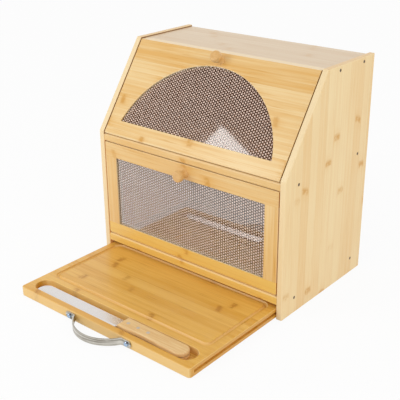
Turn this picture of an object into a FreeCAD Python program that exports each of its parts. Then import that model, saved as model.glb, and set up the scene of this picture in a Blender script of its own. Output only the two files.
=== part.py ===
import FreeCAD, Part
import math
import os

import Sketcher
from FreeCAD import Placement, Rotation, Vector

# Bamboo bread box: a cabinet with a sloped lid over a lower door, and a cutting board that
# slides out under the bottom shelf. Millimetres. X is across, Y runs from the front edges of
# the side panels (Y 0) to the rear, Z is up from the floor.
# A leaf is the lid or the door. In a leaf's own frame Y is the depth behind its front face and
# Z is the height above its foot line: the lid's foot line is the knee of the side panels, and
# the lid's frame leans back with the slope.

doc = FreeCAD.newDocument("BreadBox")

SIZES = (
    ("cabinet_width", 400, "across both side panels"),
    ("cabinet_depth", 245, "front edge to rear edge of a side panel"),
    ("cabinet_height", 387.5, "floor to the top edge of a side panel"),
    ("knee_height", 238, "floor to the corner where the slope starts"),
    ("slope_reach", 104.5, "how far back the slope ends"),
    ("stock_thick", 11, "side panels, lid and door"),
    ("edge_round", 2, "rounded edges of the side panels"),
    ("top_thick", 10, "top board"),
    ("top_drop", 2.6, "top board below the top edges of the side panels"),
    ("top_inset", 2, "rear edge of the top board in front of the rear edges"),
    ("top_round", 1, "front upper edge of the top board"),
    ("shelf_thick", 7, "both shelf boards"),
    ("middle_rail_high", 12.7, "front rail of the middle shelf"),
    ("bottom_rail_high", 15, "front rail of the bottom shelf"),
    ("rail_deep", 12, "front rail of a shelf"),
    ("rail_setback", 1, "front rail behind the front edges"),
    ("rail_round", 3, "upper front edge of a rail"),
    ("tongue_thick", 3, "tongue of a shelf board in its rail"),
    ("tongue_long", 5, "tongue of a shelf board in its rail"),
    ("knee_step", 4.6, "top of the middle rail below the knee"),
    ("back_thick", 5, "back panel"),
    ("back_inset", 2, "back panel in front of the rear edges"),
    ("back_foot", 3, "floor to the lower edge of the back panel"),
    ("housing_deep", 4, "groove in a side panel for the back panel"),
    ("glue_fit", 0.1, "gap in glued and housed joints"),
    ("lid_recess", 0.8, "lid behind the slope"),
    ("door_recess", 0.6, "door behind the front edges"),
    ("swing_gap", 1.6, "leaf to side panel"),
    ("sill_gap", 0.8, "door above its rail"),
    ("lid_sill_gap", 2.2, "lid above its rail, room for its front corner to swing"),
    ("head_gap", 1.5, "door below the middle shelf"),
    ("stop_gap", 0.4, "leaf to its stop"),
    ("lid_crown", 2, "rounded upper edge of the lid"),
    ("lid_toe", 1.2, "rounded lower front edge of the lid"),
    ("leaf_round", 0.6, "front edges at the ends of the lid and the door"),
    ("pin_dia", 3, "pivot pins"),
    ("door_pin_inset", 5, "pivot axis behind the front face and above the lower edge"),
    ("lid_pin_inset", 2.8, "pivot axis behind the front face"),
    ("lid_pin_rise", 4, "pivot axis above the lower edge"),
    ("pin_seat", 8, "pin length in a side panel"),
    ("pin_reach", 14, "pin length in a leaf"),
    ("run_fit", 0.05, "radial clearance of a pin or a screw"),
    ("end_room", 1, "bottom of a blind bore beyond the pin or screw in it"),
    ("cut_past", 1, "how far a cut runs past the face that it opens"),
    ("round_stop", 0.05, "a rounding stops this short of a full half round"),
    ("stile_width", 25.4, "door stiles"),
    ("top_rail_width", 26, "upper rail of the door"),
    ("foot_rail_width", 24, "lower rail of the door"),
    ("tenon_thick", 4, "stub tenons of the stiles"),
    ("tenon_width", 14, "stub tenons of the stiles"),
    ("tenon_long", 10, "stub tenons of the stiles"),
    ("arch_margin", 26.2, "side of the lid to the arched window at its sill"),
    ("arch_crown", 25, "crown of the arched window below the front upper edge of the lid"),
    ("arch_sill", 26.2, "foot line to the sill of the arched window"),
    ("window_round", 0.8, "front edge of the arched window"),
    ("window_lip", 2.6, "wood in front of a pane"),
    ("pane_bed", 0.2, "retainer behind the sheet"),
    ("pane_thick", 1.5, "clear panes"),
    ("mesh_thick", 0.8, "perforated sheets"),
    ("rebate_lap", 3, "rebate around a window"),
    ("pane_fit", 0.3, "pane to the edge of its rebate"),
    ("retainer_lap", 7, "outer edge of a retainer around a window"),
    ("retainer_ease", 0.5, "inner edge of a retainer around a window"),
    ("retainer_thick", 3, "flat frames that hold the panes"),
    ("tack_dia", 1.8, "screws of the retainers"),
    ("tack_head", 3.4, "screws of the retainers"),
    ("tack_long", 8, "screws of the retainers"),
    ("tack_lap", 4.6, "screw line of a retainer around a window"),
    ("tack_inset", 22, "outer screws along a straight side from the window's corner"),
    ("arch_tack_low", 25, "lower screws round the arch, in degrees from the sill line"),
    ("arch_tack_high", 57, "upper screws round the arch, in degrees from the sill line"),
    ("knob_dia", 20, "widest part of a knob"),
    ("knob_neck", 12.5, "narrowest part of a knob"),
    ("knob_neck_rise", 6.6, "narrowest part of a knob above its foot"),
    ("knob_foot", 15, "foot of a knob"),
    ("knob_foot_high", 1.3, "straight side of the foot"),
    ("knob_long", 22, "projection of a knob"),
    ("knob_head_rise", 13.2, "head of a knob above its foot"),
    ("knob_swell", 0.5, "bulge of the side of the head"),
    ("knob_edge", 3.2, "rounded front edge of a knob"),
    ("lid_knob_drop", 13.6, "knob below the front upper edge of the lid"),
    ("door_knob_drop", 15.7, "knob below the upper edge of the door"),
    ("knob_screw_dia", 4, "machine screw of a knob"),
    ("knob_screw_head", 6.4, "machine screw of a knob"),
    ("knob_screw_cap", 1.8, "height of its head"),
    ("knob_screw_bite", 12, "its length in the knob"),
    ("magnet_dia", 8, "disc magnets"),
    ("magnet_thick", 3, "disc magnets"),
    ("magnet_inset", 49, "magnets and strikes from the side panels"),
    ("strike_dia", 8, "strike plates"),
    ("strike_thick", 1.2, "strike plates"),
    ("block_wide", 34, "stop blocks of the door"),
    ("block_deep", 12, "stop blocks of the door"),
    ("block_high", 12, "stop blocks of the door"),
    ("screw_dia", 3, "side screws"),
    ("screw_head", 5.2, "side screws"),
    ("screw_long", 32, "side screws"),
    ("front_screw_line", 35, "front screws of the shelves behind the front edge"),
    ("top_screw_inset", 20.8, "front screws of the top board behind its front edge"),
    ("rear_screw_inset", 34, "rear side screws in front of the rear edge"),
    ("back_screw_dia", 2.8, "screws of the back panel"),
    ("back_screw_head", 5.6, "screws of the back panel"),
    ("back_screw_long", 22, "screws of the back panel"),
    ("back_screw_inset", 39, "outer screws of the back panel from the side panels"),
    ("runner_deep", 4.5, "runners stand out from the side panels"),
    ("runner_high", 4.4, "runners"),
    ("runner_level", 7.2, "underside of the runners"),
    ("runner_fit", 0.4, "runner in the groove of the board, above and below"),
    ("board_lift", 0.8, "underside of the board above the floor"),
    ("board_thick", 17, "cutting board"),
    ("board_rear_gap", 5, "pushed-in board to the back panel"),
    ("board_gap", 0.7, "board to side panel"),
    ("board_grip", 23, "stretch of the pulled-out board that stays in the cabinet"),
    ("board_headroom", 6.4, "bottom shelf above the board"),
    ("board_round", 1.5, "edges of the board"),
    ("board_corner", 6, "front corners of the board"),
    ("edge_groove_deep", 5, "grooves in the side edges of the board"),
    ("edge_groove_stop", 10, "front end of these grooves behind the front edge"),
    ("juice_radius", 4, "section of the juice groove"),
    ("juice_sink", 0.8, "centre of that section below the surface"),
    ("juice_side", 17, "middle of the juice groove from the side edges"),
    ("juice_front", 62, "middle of the juice groove from the front edge"),
    ("juice_rear", 18, "middle of the juice groove from the rear edge"),
    ("juice_corner", 12, "corner radius of the juice groove"),
    ("slot_wall", 12.8, "end of the knife recess from the side edge of the board"),
    ("slot_wide", 33.5, "knife recess"),
    ("slot_deep", 11, "knife recess"),
    ("slot_round", 1.2, "rim of the knife recess"),
    ("slot_front", 29.2, "middle of the knife recess from the front edge"),
    ("lug_spacing", 128, "screws of the bow handle"),
    ("lug_end", 9, "screw to the end of a lug"),
    ("bow_foot", 56, "where a lug turns into the bow, from the middle"),
    ("bow_reach", 32, "projection of the bow"),
    ("bow_bend", 6, "small bends of the strap"),
    ("strap_high", 12, "strap of the handle"),
    ("strap_thick", 2, "strap of the handle"),
    ("handle_screw_dia", 4, "screws of the handle"),
    ("handle_screw_head", 8, "screws of the handle"),
    ("handle_screw_cap", 2.6, "height of their heads"),
    ("handle_screw_long", 15, "screws of the handle"),
    ("head_bevel", 0.9, "bevelled rim of round screw heads"),
    ("blade_thick", 1.8, "knife blade"),
    ("blade_tip_gap", 11.5, "tip of the blade from the end of the recess"),
    ("blade_wide", 23, "knife blade"),
    ("blade_nose", 15, "rounded back of the tip"),
    ("blade_back", 9.5, "back of the blade from the rear side of the recess"),
    ("blade_neck", 6, "where the blade narrows before the handle"),
    ("grind_wide", 5.5, "bevel along the cutting edge"),
    ("grind_deep", 1.2, "bevel along the cutting edge"),
    ("serration_pitch", 6, "scallops of the cutting edge"),
    ("serration_radius", 5, "scallops of the cutting edge"),
    ("serration_bite", 0.9, "depth of a scallop"),
    ("serration_stop", 24, "plain stretch of the edge before the handle"),
    ("scale_long", 133, "knife handle"),
    ("scale_end_gap", 15.5, "knife handle from the end of the recess"),
    ("scale_wide", 27, "knife handle at its widest"),
    ("scale_nip", 1, "handle narrower at its front end"),
    ("scale_swell", 18.5, "end of this taper behind the front end"),
    ("scale_waist", 2.2, "hollow of the handle's lower side"),
    ("scale_waist_at", 56, "middle of the hollow behind the front end"),
    ("scale_grip", 93, "end of the hollow behind the front end"),
    ("scale_thick", 6.1, "one wooden scale"),
    ("scale_round", 2.5, "outer edges of the scales"),
    ("scale_front_gap", 4, "handle from the rear side of the recess"),
    ("tang_inset", 4, "tang inside the outline of the scales"),
    ("tang_short", 12, "end of the tang before the end of the scales"),
    ("rivet_dia", 6, "rivets of the knife"),
    ("rivet_sink", 0.2, "rivets inside the lower face of the handle"),
    ("rivet_first", 12, "first rivet from the front end of the scales"),
    ("rivet_pitch", 21, "rivet to rivet"),
)

# Places that follow from the sizes above.
LAYOUT = (
    ("slope_angle", "atan(Sizes.slope_reach / (Sizes.cabinet_height - Sizes.knee_height)) / 1 deg"),
    ("slope_sin", "sin(slope_angle)"),
    ("slope_cos", "cos(slope_angle)"),
    ("slope_tan", "tan(slope_angle)"),
    ("inner_half", "Sizes.cabinet_width / 2 - Sizes.stock_thick"),
    ("leaf_half", "inner_half - Sizes.swing_gap"),
    ("top_level", "Sizes.cabinet_height - Sizes.top_drop"),
    ("top_under", "top_level - Sizes.top_thick"),
    ("back_face", "Sizes.cabinet_depth - Sizes.back_inset - Sizes.back_thick"),
    ("shelf_front", "Sizes.rail_setback + Sizes.rail_deep"),
    ("shelf_rear", "back_face - Sizes.glue_fit"),
    ("middle_sill", "Sizes.knee_height - Sizes.knee_step"),
    ("middle_level", "middle_sill - Sizes.middle_rail_high"),
    ("board_level", "Sizes.board_lift + Sizes.board_thick"),
    ("bottom_level", "board_level + Sizes.board_headroom"),
    ("bottom_sill", "bottom_level + Sizes.bottom_rail_high"),
    ("door_foot", "bottom_sill + Sizes.sill_gap"),
    ("door_high", "middle_level - Sizes.head_gap - door_foot"),
    ("door_knob_height", "door_high - Sizes.door_knob_drop"),
    ("window_foot", "Sizes.foot_rail_width"),
    ("window_head", "door_high - Sizes.top_rail_width"),
    ("window_half", "leaf_half - Sizes.stile_width"),
    ("lid_foot", "middle_sill + Sizes.lid_sill_gap"),
    ("lid_facet", "Sizes.knee_height - Sizes.lid_recess * slope_sin - lid_foot"),
    # A height z of the cabinet lies at (z - knee + (recess + depth) * sin) / cos in the lid's frame.
    ("lid_pin", "(lid_foot + Sizes.lid_pin_rise - Sizes.knee_height"
                " + (Sizes.lid_recess + Sizes.lid_pin_inset) * slope_sin) / slope_cos"),
    ("lid_foot_rear", "(lid_foot - Sizes.knee_height"
                      " + (Sizes.lid_recess + Sizes.stock_thick) * slope_sin) / slope_cos"),
    ("lid_head_front", "(top_level - Sizes.knee_height + Sizes.lid_recess * slope_sin) / slope_cos"),
    ("lid_head_rear", "(top_level - Sizes.knee_height"
                      " + (Sizes.lid_recess + Sizes.stock_thick) * slope_sin) / slope_cos"),
    ("lid_knob_height", "lid_head_front - Sizes.lid_knob_drop"),
    ("arch_half", "leaf_half - Sizes.arch_margin"),
    ("arch_rise", "lid_head_front - Sizes.arch_crown - Sizes.arch_sill"),
    ("arch_radius", "(arch_half ^ 2 + arch_rise ^ 2) / (2 * arch_rise)"),
    ("arch_centre", "Sizes.arch_sill + arch_rise - arch_radius"),
    ("lid_stop", "Sizes.stock_thick + Sizes.stop_gap"),
    ("lid_magnet_height", "(top_level - Sizes.top_thick / 2 - Sizes.knee_height"
                          " + (Sizes.lid_recess + lid_stop) * slope_sin) / slope_cos"),
    ("lid_pin_y", "lid_pin * slope_sin + (Sizes.lid_recess + Sizes.lid_pin_inset) * slope_cos"),
    ("lid_pin_z", "lid_foot + Sizes.lid_pin_rise"),
    ("door_pin_y", "Sizes.door_recess + Sizes.door_pin_inset"),
    ("door_pin_z", "door_foot + Sizes.door_pin_inset"),
    ("sheet_depth", "Sizes.window_lip + Sizes.pane_thick"),
    ("retainer_tongue", "Sizes.stock_thick - sheet_depth - Sizes.mesh_thick - Sizes.pane_bed"),
    ("magnet_spread", "inner_half - Sizes.magnet_inset"),
    ("block_face", "Sizes.door_recess + Sizes.stock_thick + Sizes.stop_gap"),
    ("block_foot", "middle_level - Sizes.block_high"),
    ("door_magnet_height", "block_foot + Sizes.block_high / 2 - door_foot"),
    ("top_screw_line", "(top_level - Sizes.knee_height) * slope_tan"
                       " + (Sizes.lid_recess + lid_stop) / slope_cos + Sizes.top_screw_inset"),
    ("rear_screw_line", "Sizes.cabinet_depth - Sizes.rear_screw_inset"),
    ("back_screw_spread", "inner_half - Sizes.back_screw_inset"),
    ("board_half", "inner_half - Sizes.board_gap"),
    ("board_long", "back_face - Sizes.board_rear_gap"),
    ("board_out", "board_long - Sizes.board_grip"),
    ("slot_half", "board_half - Sizes.slot_wall"),
    ("slot_y", "Sizes.slot_front - board_out"),
    ("slot_floor", "board_level - Sizes.slot_deep"),
    ("slot_rear", "slot_y + Sizes.slot_wide / 2"),
    ("scale_middle", "slot_rear - Sizes.scale_front_gap - Sizes.scale_wide / 2"),
    ("scale_end", "slot_half - Sizes.scale_end_gap"),
    ("blade_heel", "scale_end - Sizes.scale_long"),
    ("blade_tip", "Sizes.blade_tip_gap - slot_half"),
    ("blade_foot", "slot_floor + Sizes.scale_thick"),
    ("handle_level", "Sizes.board_lift + Sizes.board_thick / 2"),
    ("bow_rise", "Sizes.bow_reach - Sizes.strap_thick"),
    ("bow_radius", "(Sizes.bow_foot ^ 2 + bow_rise ^ 2) / (2 * bow_rise) - Sizes.bow_bend"),
)

sheet = doc.addObject("Spreadsheet::Sheet", "Sizes")
for row, (alias, size, note) in enumerate(SIZES, start=1):
    sheet.set(f"A{row}", alias)
    sheet.set(f"B{row}", str(size))
    sheet.setAlias(f"B{row}", alias)
    sheet.set(f"C{row}", note)

layout = doc.addObject("Spreadsheet::Sheet", "Layout")
for row, (alias, formula) in enumerate(LAYOUT, start=1):
    layout.set(f"A{row}", alias)
    layout.set(f"B{row}", "=" + formula)
    layout.setAlias(f"B{row}", alias)
doc.recompute()

LAYOUT_NAMES = [alias for alias, _ in LAYOUT]
nodes = []


def full(term):
    """Write the names of sizes and places out with the sheet that they stand in."""
    words = []
    word = ""
    for letter in str(term) + " ":
        if letter.isalnum() or letter in "_.":
            word += letter
            continue
        if word in LAYOUT_NAMES:
            word = "Layout." + word
        elif word and word[0].isalpha() and word not in ("sin", "cos", "tan", "sqrt"):
            word = "Sizes." + word
        words.append(word + letter)
        word = ""
    return "".join(words).strip()


def number(term):
    """The present value of a term of sizes and places."""
    return float(layout.evalExpression(full(term)))


def bind(thing, path, term):
    thing.setExpression(path, full(term))


# ---- Bodies, sketches and features ----

def body_at(label, x="0", y="0", z="0"):
    """A new body whose frame stands at x, y, z of the cabinet."""
    body = doc.addObject("PartDesign::Body", label)
    body.Label = label
    for axis, term in (("x", x), ("y", y), ("z", z)):
        bind(body, f"Placement.Base.{axis}", term)
    nodes.append(body)
    return body


def leaf_body(label, leaf):
    """A new body in the frame of the lid or of the door."""
    if leaf == "door":
        return body_at(label, y="door_recess", z="door_foot")
    body = body_at(
        label,
        y="lid_recess * slope_cos",
        z="knee_height - lid_recess * slope_sin",
    )
    body.Placement = Placement(Vector(), Rotation(Vector(1, 0, 0), -number("slope_angle")))
    bind(body, "Placement.Rotation.Angle", "-slope_angle")
    return body


def sketch_on(body, plane, x="0", y="0", z="0"):
    """A sketch on a plane of the body's own origin, moved by x, y, z in the sketch's axes."""
    sketch = body.newObject("Sketcher::SketchObject", body.Name + "Sketch")
    role = plane + "_Plane"
    support = [part for part in body.Origin.OriginFeatures if part.Role == role][0]
    sketch.AttachmentSupport = [(support, "")]
    sketch.MapMode = "FlatFace"
    for axis, term in (("x", x), ("y", y), ("z", z)):
        if term != "0":
            bind(sketch, f"AttachmentOffset.Base.{axis}", term)
    return sketch


def hold(sketch, kind, geometry, end, term):
    """Tie one coordinate of a point to a term of sizes."""
    place = sketch.addConstraint(Sketcher.Constraint(kind, -1, 1, geometry, end, number(term)))
    bind(sketch, f"Constraints[{place}]", term)


def hold_radius(sketch, geometry, term):
    place = sketch.addConstraint(Sketcher.Constraint("Radius", geometry, number(term)))
    bind(sketch, f"Constraints[{place}]", term)


def outline(sketch, corners):
    """A closed outline of straight sides through corners given as pairs of terms."""
    points = [Vector(number(x), number(y), 0) for x, y in corners]
    first = sketch.GeometryCount
    count = len(points)
    for i in range(count):
        sketch.addGeometry(Part.LineSegment(points[i], points[(i + 1) % count]), False)
    for i in range(count):
        following = first + (i + 1) % count
        sketch.addConstraint(Sketcher.Constraint("Coincident", first + i, 2, following, 1))
    for i, (x, y) in enumerate(corners):
        hold(sketch, "DistanceX", first + i, 1, x)
        hold(sketch, "DistanceY", first + i, 1, y)


def round_through(start, middle, end):
    """The circle through three points, and whether they run clockwise round it."""
    a, b = middle - start, end - start
    cross = a.x * b.y - a.y * b.x
    centre = Vector(
        start.x + (b.y * a.dot(a) - a.y * b.dot(b)) / (2 * cross),
        start.y + (a.x * b.dot(b) - b.x * a.dot(a)) / (2 * cross),
        0,
    )
    ring = Part.Circle(centre, Vector(0, 0, 1), (start - centre).Length)
    return ring, cross < 0


def contour(sketch, start, steps):
    """An outline from start through its steps: a corner, or a point on an arc and its end."""
    def at(term_pair):
        return Vector(number(term_pair[0]), number(term_pair[1]), 0)

    chain = []
    here = start
    for step in steps:
        there = step[-2:]
        if len(step) == 2:
            side = sketch.addGeometry(Part.LineSegment(at(here), at(there)), False)
            first, last = 1, 2
        else:
            middle = step[:2]
            ring, clockwise = round_through(at(here), at(middle), at(there))
            angles = [math.atan2(point.y - ring.Center.y, point.x - ring.Center.x)
                      for point in (at(here), at(there))]
            if clockwise:
                angles.reverse()
            if angles[1] < angles[0]:
                angles[1] += 2 * math.pi
            side = sketch.addGeometry(Part.ArcOfCircle(ring, *angles), False)
            first, last = (2, 1) if clockwise else (1, 2)
            mark = sketch.addGeometry(Part.Point(at(middle)), True)
            hold(sketch, "DistanceX", mark, 1, middle[0])
            hold(sketch, "DistanceY", mark, 1, middle[1])
            sketch.addConstraint(Sketcher.Constraint("PointOnObject", mark, 1, side))
        if chain:
            _, _, _, before, before_last = chain[-1]
            sketch.addConstraint(Sketcher.Constraint("Coincident", before, before_last, side, first))
        hold(sketch, "DistanceX", side, first, here[0])
        hold(sketch, "DistanceY", side, first, here[1])
        chain.append((here, there, first, side, last))
        here = there
    end, final = chain[-1], chain[0]
    if tuple(end[1]) == tuple(start):
        sketch.addConstraint(Sketcher.Constraint("Coincident", end[3], end[4], final[3], final[2]))
    else:
        hold(sketch, "DistanceX", end[3], end[4], here[0])
        hold(sketch, "DistanceY", end[3], end[4], here[1])


def block(sketch, x0, y0, x1, y1):
    """A rectangle between two opposite corners."""
    outline(sketch, ((x0, y0), (x1, y0), (x1, y1), (x0, y1)))


def circle(sketch, x, y, radius):
    centre = Vector(number(x), number(y), 0)
    ring = sketch.addGeometry(Part.Circle(centre, Vector(0, 0, 1), number(radius)), False)
    hold(sketch, "DistanceX", ring, 3, x)
    hold(sketch, "DistanceY", ring, 3, y)
    hold_radius(sketch, ring, radius)


def arch(sketch, grow):
    """The outline of the lid's window, set out by grow all round."""
    radius = number(f"arch_radius + {grow}")
    centre = number("arch_centre")
    sill = number(f"arch_sill - {grow}")
    half = math.sqrt(radius ** 2 - (sill - centre) ** 2)
    start = math.atan2(sill - centre, half)
    ring = Part.Circle(Vector(0, centre, 0), Vector(0, 0, 1), radius)
    bow = sketch.addGeometry(Part.ArcOfCircle(ring, start, math.pi - start), False)
    line = sketch.addGeometry(Part.LineSegment(Vector(-half, sill, 0), Vector(half, sill, 0)), False)
    sketch.addConstraint(Sketcher.Constraint("Coincident", bow, 2, line, 1))
    sketch.addConstraint(Sketcher.Constraint("Coincident", line, 2, bow, 1))
    sketch.addConstraint(Sketcher.Constraint("Horizontal", line))
    hold(sketch, "DistanceX", bow, 3, "0")
    hold(sketch, "DistanceY", bow, 3, "arch_centre")
    hold(sketch, "DistanceY", line, 1, f"arch_sill - {grow}")
    hold_radius(sketch, bow, f"arch_radius + {grow}")


def window(sketch, grow):
    """The outline of the door's window, set out by grow all round."""
    block(
        sketch,
        f"-window_half - {grow}",
        f"window_foot - {grow}",
        f"window_half + {grow}",
        f"window_head + {grow}",
    )


def pad(body, sketch, length, middle=False, back=False):
    feature = body.newObject("PartDesign::Pad", body.Name + "Pad")
    feature.Profile = sketch
    bind(feature, "Length", length)
    feature.Midplane = middle
    feature.Reversed = back
    doc.recompute()
    return feature


def pocket(body, sketch, length, middle=False, back=False):
    """A pocket that must take material away."""
    before = body.Shape.Volume
    feature = body.newObject("PartDesign::Pocket", body.Name + "Pocket")
    feature.Profile = sketch
    bind(feature, "Length", length)
    feature.Midplane = middle
    feature.Reversed = back
    doc.recompute()
    if not body.Shape.Volume < before - 1e-6:
        raise RuntimeError(f"a pocket of {body.Label} cuts nothing")
    return feature


def turn(body, sketch, axis):
    """A solid turned about an axis of its sketch."""
    feature = body.newObject("PartDesign::Revolution", body.Name + "Turned")
    feature.Profile = sketch
    feature.ReferenceAxis = (sketch, [axis])
    feature.Angle = 360
    doc.recompute()
    return feature


def edges_where(feature, test):
    """Names of the straight or curved edges whose bounding box passes a test."""
    return [f"Edge{i}" for i, edge in enumerate(feature.Shape.Edges, start=1) if test(edge)]


def round_edges(body, test, radius):
    base = body.Tip
    names = edges_where(base, test)
    if not names:
        raise RuntimeError(f"no edge of {body.Label} to round")
    feature = body.newObject("PartDesign::Fillet", body.Name + "Round")
    feature.Base = (base, names)
    bind(feature, "Radius", radius)
    doc.recompute()
    return feature


def near(value, term, slack=0.01):
    return abs(value - number(term)) < slack


def lies_at(edge, **terms):
    """True where every named coordinate of an edge stays at its term."""
    box = edge.BoundBox
    spans = {"x": (box.XMin, box.XMax), "y": (box.YMin, box.YMax), "z": (box.ZMin, box.ZMax)}
    return all(near(low, terms[k]) and near(high, terms[k]) for k, (low, high) in spans.items()
               if k in terms)


# ---- Turned hardware ----

def screw_half(head, cap, shank, length, side, flat):
    """Half the section of a screw, as pairs of depth and radius: countersunk or with a round cap."""
    if flat:
        stations = (("0", "0"), ("0", f"{head} / 2"), (cap, f"{shank} / 2"))
    else:
        stations = (
            (f"-{cap}", "0"), (f"-{cap}", f"{head} / 2 - head_bevel"),
            (f"head_bevel - {cap}", f"{head} / 2"), ("0", f"{head} / 2"), ("0", f"{shank} / 2"),
        )
    stations += ((length, f"{shank} / 2"), (length, "0"))
    return [(f"{side} * ({depth})", radius) for depth, radius in stations]


def screws_along_x(label, places, x, side, head, shank, length):
    """Countersunk screws that enter at x and point along side, at pairs of depth and height."""
    body = body_at(label, x=x)
    half = screw_half(head, f"({head} - {shank}) / 2", shank, length, side, flat=True)
    for y, z in places:
        sketch = sketch_on(body, "XY", y=y, z=z)
        outline(sketch, half)
        turn(body, sketch, "H_Axis")
    return body


def screws_along_y(body, places, y, side, head, cap, shank, length, flat=True):
    """Screws that enter at y and point along side, at pairs of width and height."""
    half = screw_half(head, cap, shank, length, side, flat)
    for x, z in places:
        sketch = sketch_on(body, "XY", x=x, y=y, z=z)
        outline(sketch, [(radius, depth) for depth, radius in half])
        turn(body, sketch, "V_Axis")
    return body


def discs(body, places, radius, y, thick):
    """Discs with their axes along Y, from y on, at pairs of width and height."""
    sketch = sketch_on(body, "XZ", z=f"-({y})")
    for x, z in places:
        circle(sketch, x, z, radius)
    pad(body, sketch, thick, back=True)
    return body


def holes_y(body, places, radius, y, deep):
    """Round holes along Y, from y on, at pairs of width and height."""
    sketch = sketch_on(body, "XZ", z=f"-({y})")
    for x, z in places:
        circle(sketch, x, z, radius)
    pocket(body, sketch, deep)
    return body


# ---- Cabinet ----

SIDE_SCREWS = (
    ("top_screw_line", "top_level - top_thick / 2"),
    ("rear_screw_line", "top_level - top_thick / 2"),
    ("front_screw_line", "middle_level + shelf_thick / 2"),
    ("rear_screw_line", "middle_level + shelf_thick / 2"),
    ("front_screw_line", "bottom_level + shelf_thick / 2"),
    ("rear_screw_line", "bottom_level + shelf_thick / 2"),
)
PIVOTS = (("lid_pin_y", "lid_pin_z"), ("door_pin_y", "door_pin_z"))


def side_panel(label, side):
    """A side panel. Its inner face is the body's YZ plane, and side is 1 on the right."""
    left = side < 0
    body = body_at(label, x=f"{side} * inner_half")
    profile = sketch_on(body, "YZ")
    outline(
        profile,
        (
            ("0", "0"), ("cabinet_depth", "0"), ("cabinet_depth", "cabinet_height"),
            ("slope_reach", "cabinet_height"), ("0", "knee_height"),
        ),
    )
    pad(body, profile, "stock_thick", back=left)

    # Both faces keep rounded edges all the way round, except along the floor.
    def rim(edge):
        on_face = lies_at(edge, x="0") or lies_at(edge, x=f"{side} * stock_thick")
        return on_face and not lies_at(edge, z="0")

    round_edges(body, rim, "edge_round")

    # The back panel slides into this groove from below.
    housing = sketch_on(body, "YZ")
    block(housing, "back_face - glue_fit", "0", "back_face + back_thick + glue_fit", "top_under")
    pocket(body, housing, "housing_deep", back=not left)

    pivots = sketch_on(body, "YZ")
    for y, z in PIVOTS:
        circle(pivots, y, z, "pin_dia / 2 + run_fit")
    pocket(body, pivots, "pin_seat + glue_fit", back=not left)

    # Countersunk screw holes, from the outer face.
    face = sketch_on(body, "YZ", z=f"{side} * stock_thick")
    for y, z in SIDE_SCREWS:
        circle(face, y, z, "screw_dia / 2 + run_fit")
    doc.recompute()
    before = body.Shape.Volume
    hole = body.newObject("PartDesign::Hole", body.Name + "Hole")
    hole.Profile = face
    hole.Reversed = left
    hole.DepthType = "ThroughAll"
    bind(hole, "Diameter", "screw_dia + 2 * run_fit")
    hole.HoleCutType = "Countersink"
    hole.HoleCutCustomValues = True
    bind(hole, "HoleCutDiameter", "screw_head + 2 * run_fit")
    hole.HoleCutCountersinkAngle = 90
    doc.recompute()
    if not body.Shape.Volume < before:
        raise RuntimeError(f"the screw holes of {label} cut nothing")
    return body


def edge_pilots(body, places, length):
    """Pilot holes for the side screws in both ends of a board."""
    for side, back in (("1", False), ("-1", True)):
        sketch = sketch_on(body, "YZ", z=f"{side} * inner_half")
        for y, z in places:
            circle(sketch, y, z, "screw_dia / 2 + run_fit")
        pocket(body, sketch, length, back=back)


def top_board():
    """The front edge is bevelled along the slope, behind the lid."""
    body = body_at("top_board")
    profile = sketch_on(body, "YZ")
    front = "(({z}) - knee_height) * slope_tan + (lid_recess + lid_stop) / slope_cos"
    outline(
        profile,
        (
            (front.format(z="top_under"), "top_under"),
            ("cabinet_depth - top_inset", "top_under"),
            ("cabinet_depth - top_inset", "top_level"),
            (front.format(z="top_level"), "top_level"),
        ),
    )
    pad(body, profile, "2 * inner_half", middle=True)
    crest = {"y": front.format(z="top_level"), "z": "top_level"}
    round_edges(body, lambda edge: lies_at(edge, **crest), "top_round")
    edge_pilots(body, SIDE_SCREWS[:2], "screw_long - stock_thick + end_room")

    # Seats of the lid's magnets in the bevel.
    seats = sketch_on(body, "XZ")
    seats.AttachmentOffset = Placement(Vector(), Rotation(Vector(1, 0, 0), -number("slope_angle")))
    bind(seats, "AttachmentOffset.Rotation.Angle", "-slope_angle")
    bind(seats, "AttachmentOffset.Base.y", "knee_height - (lid_recess + lid_stop) * slope_sin")
    bind(seats, "AttachmentOffset.Base.z", "-(lid_recess + lid_stop) * slope_cos")
    for side in ("1", "-1"):
        circle(seats, f"{side} * magnet_spread", "lid_magnet_height", "magnet_dia / 2 + run_fit")
    pocket(body, seats, "magnet_thick + glue_fit")
    return body


def shelf(label, level, places):
    """A thin shelf board with a tongue along its front edge."""
    body = body_at(label)
    profile = sketch_on(body, "YZ")
    low = f"{level} + (shelf_thick - tongue_thick) / 2"
    outline(
        profile,
        (
            ("shelf_front", level), ("shelf_rear", level),
            ("shelf_rear", f"{level} + shelf_thick"), ("shelf_front", f"{level} + shelf_thick"),
            ("shelf_front", f"{low} + tongue_thick"),
            ("shelf_front - tongue_long", f"{low} + tongue_thick"),
            ("shelf_front - tongue_long", low), ("shelf_front", low),
        ),
    )
    pad(body, profile, "2 * inner_half", middle=True)
    edge_pilots(body, places, "screw_long - stock_thick + end_room")
    pilots = [(x, f"{level} + shelf_thick / 2") for x in BACK_SCREWS]
    sketch = sketch_on(body, "XZ", z="-shelf_rear")
    for x, z in pilots:
        circle(sketch, x, z, "back_screw_dia / 2 + run_fit")
    pocket(body, sketch, "back_screw_long - back_thick + end_room", back=True)
    return body


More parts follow.
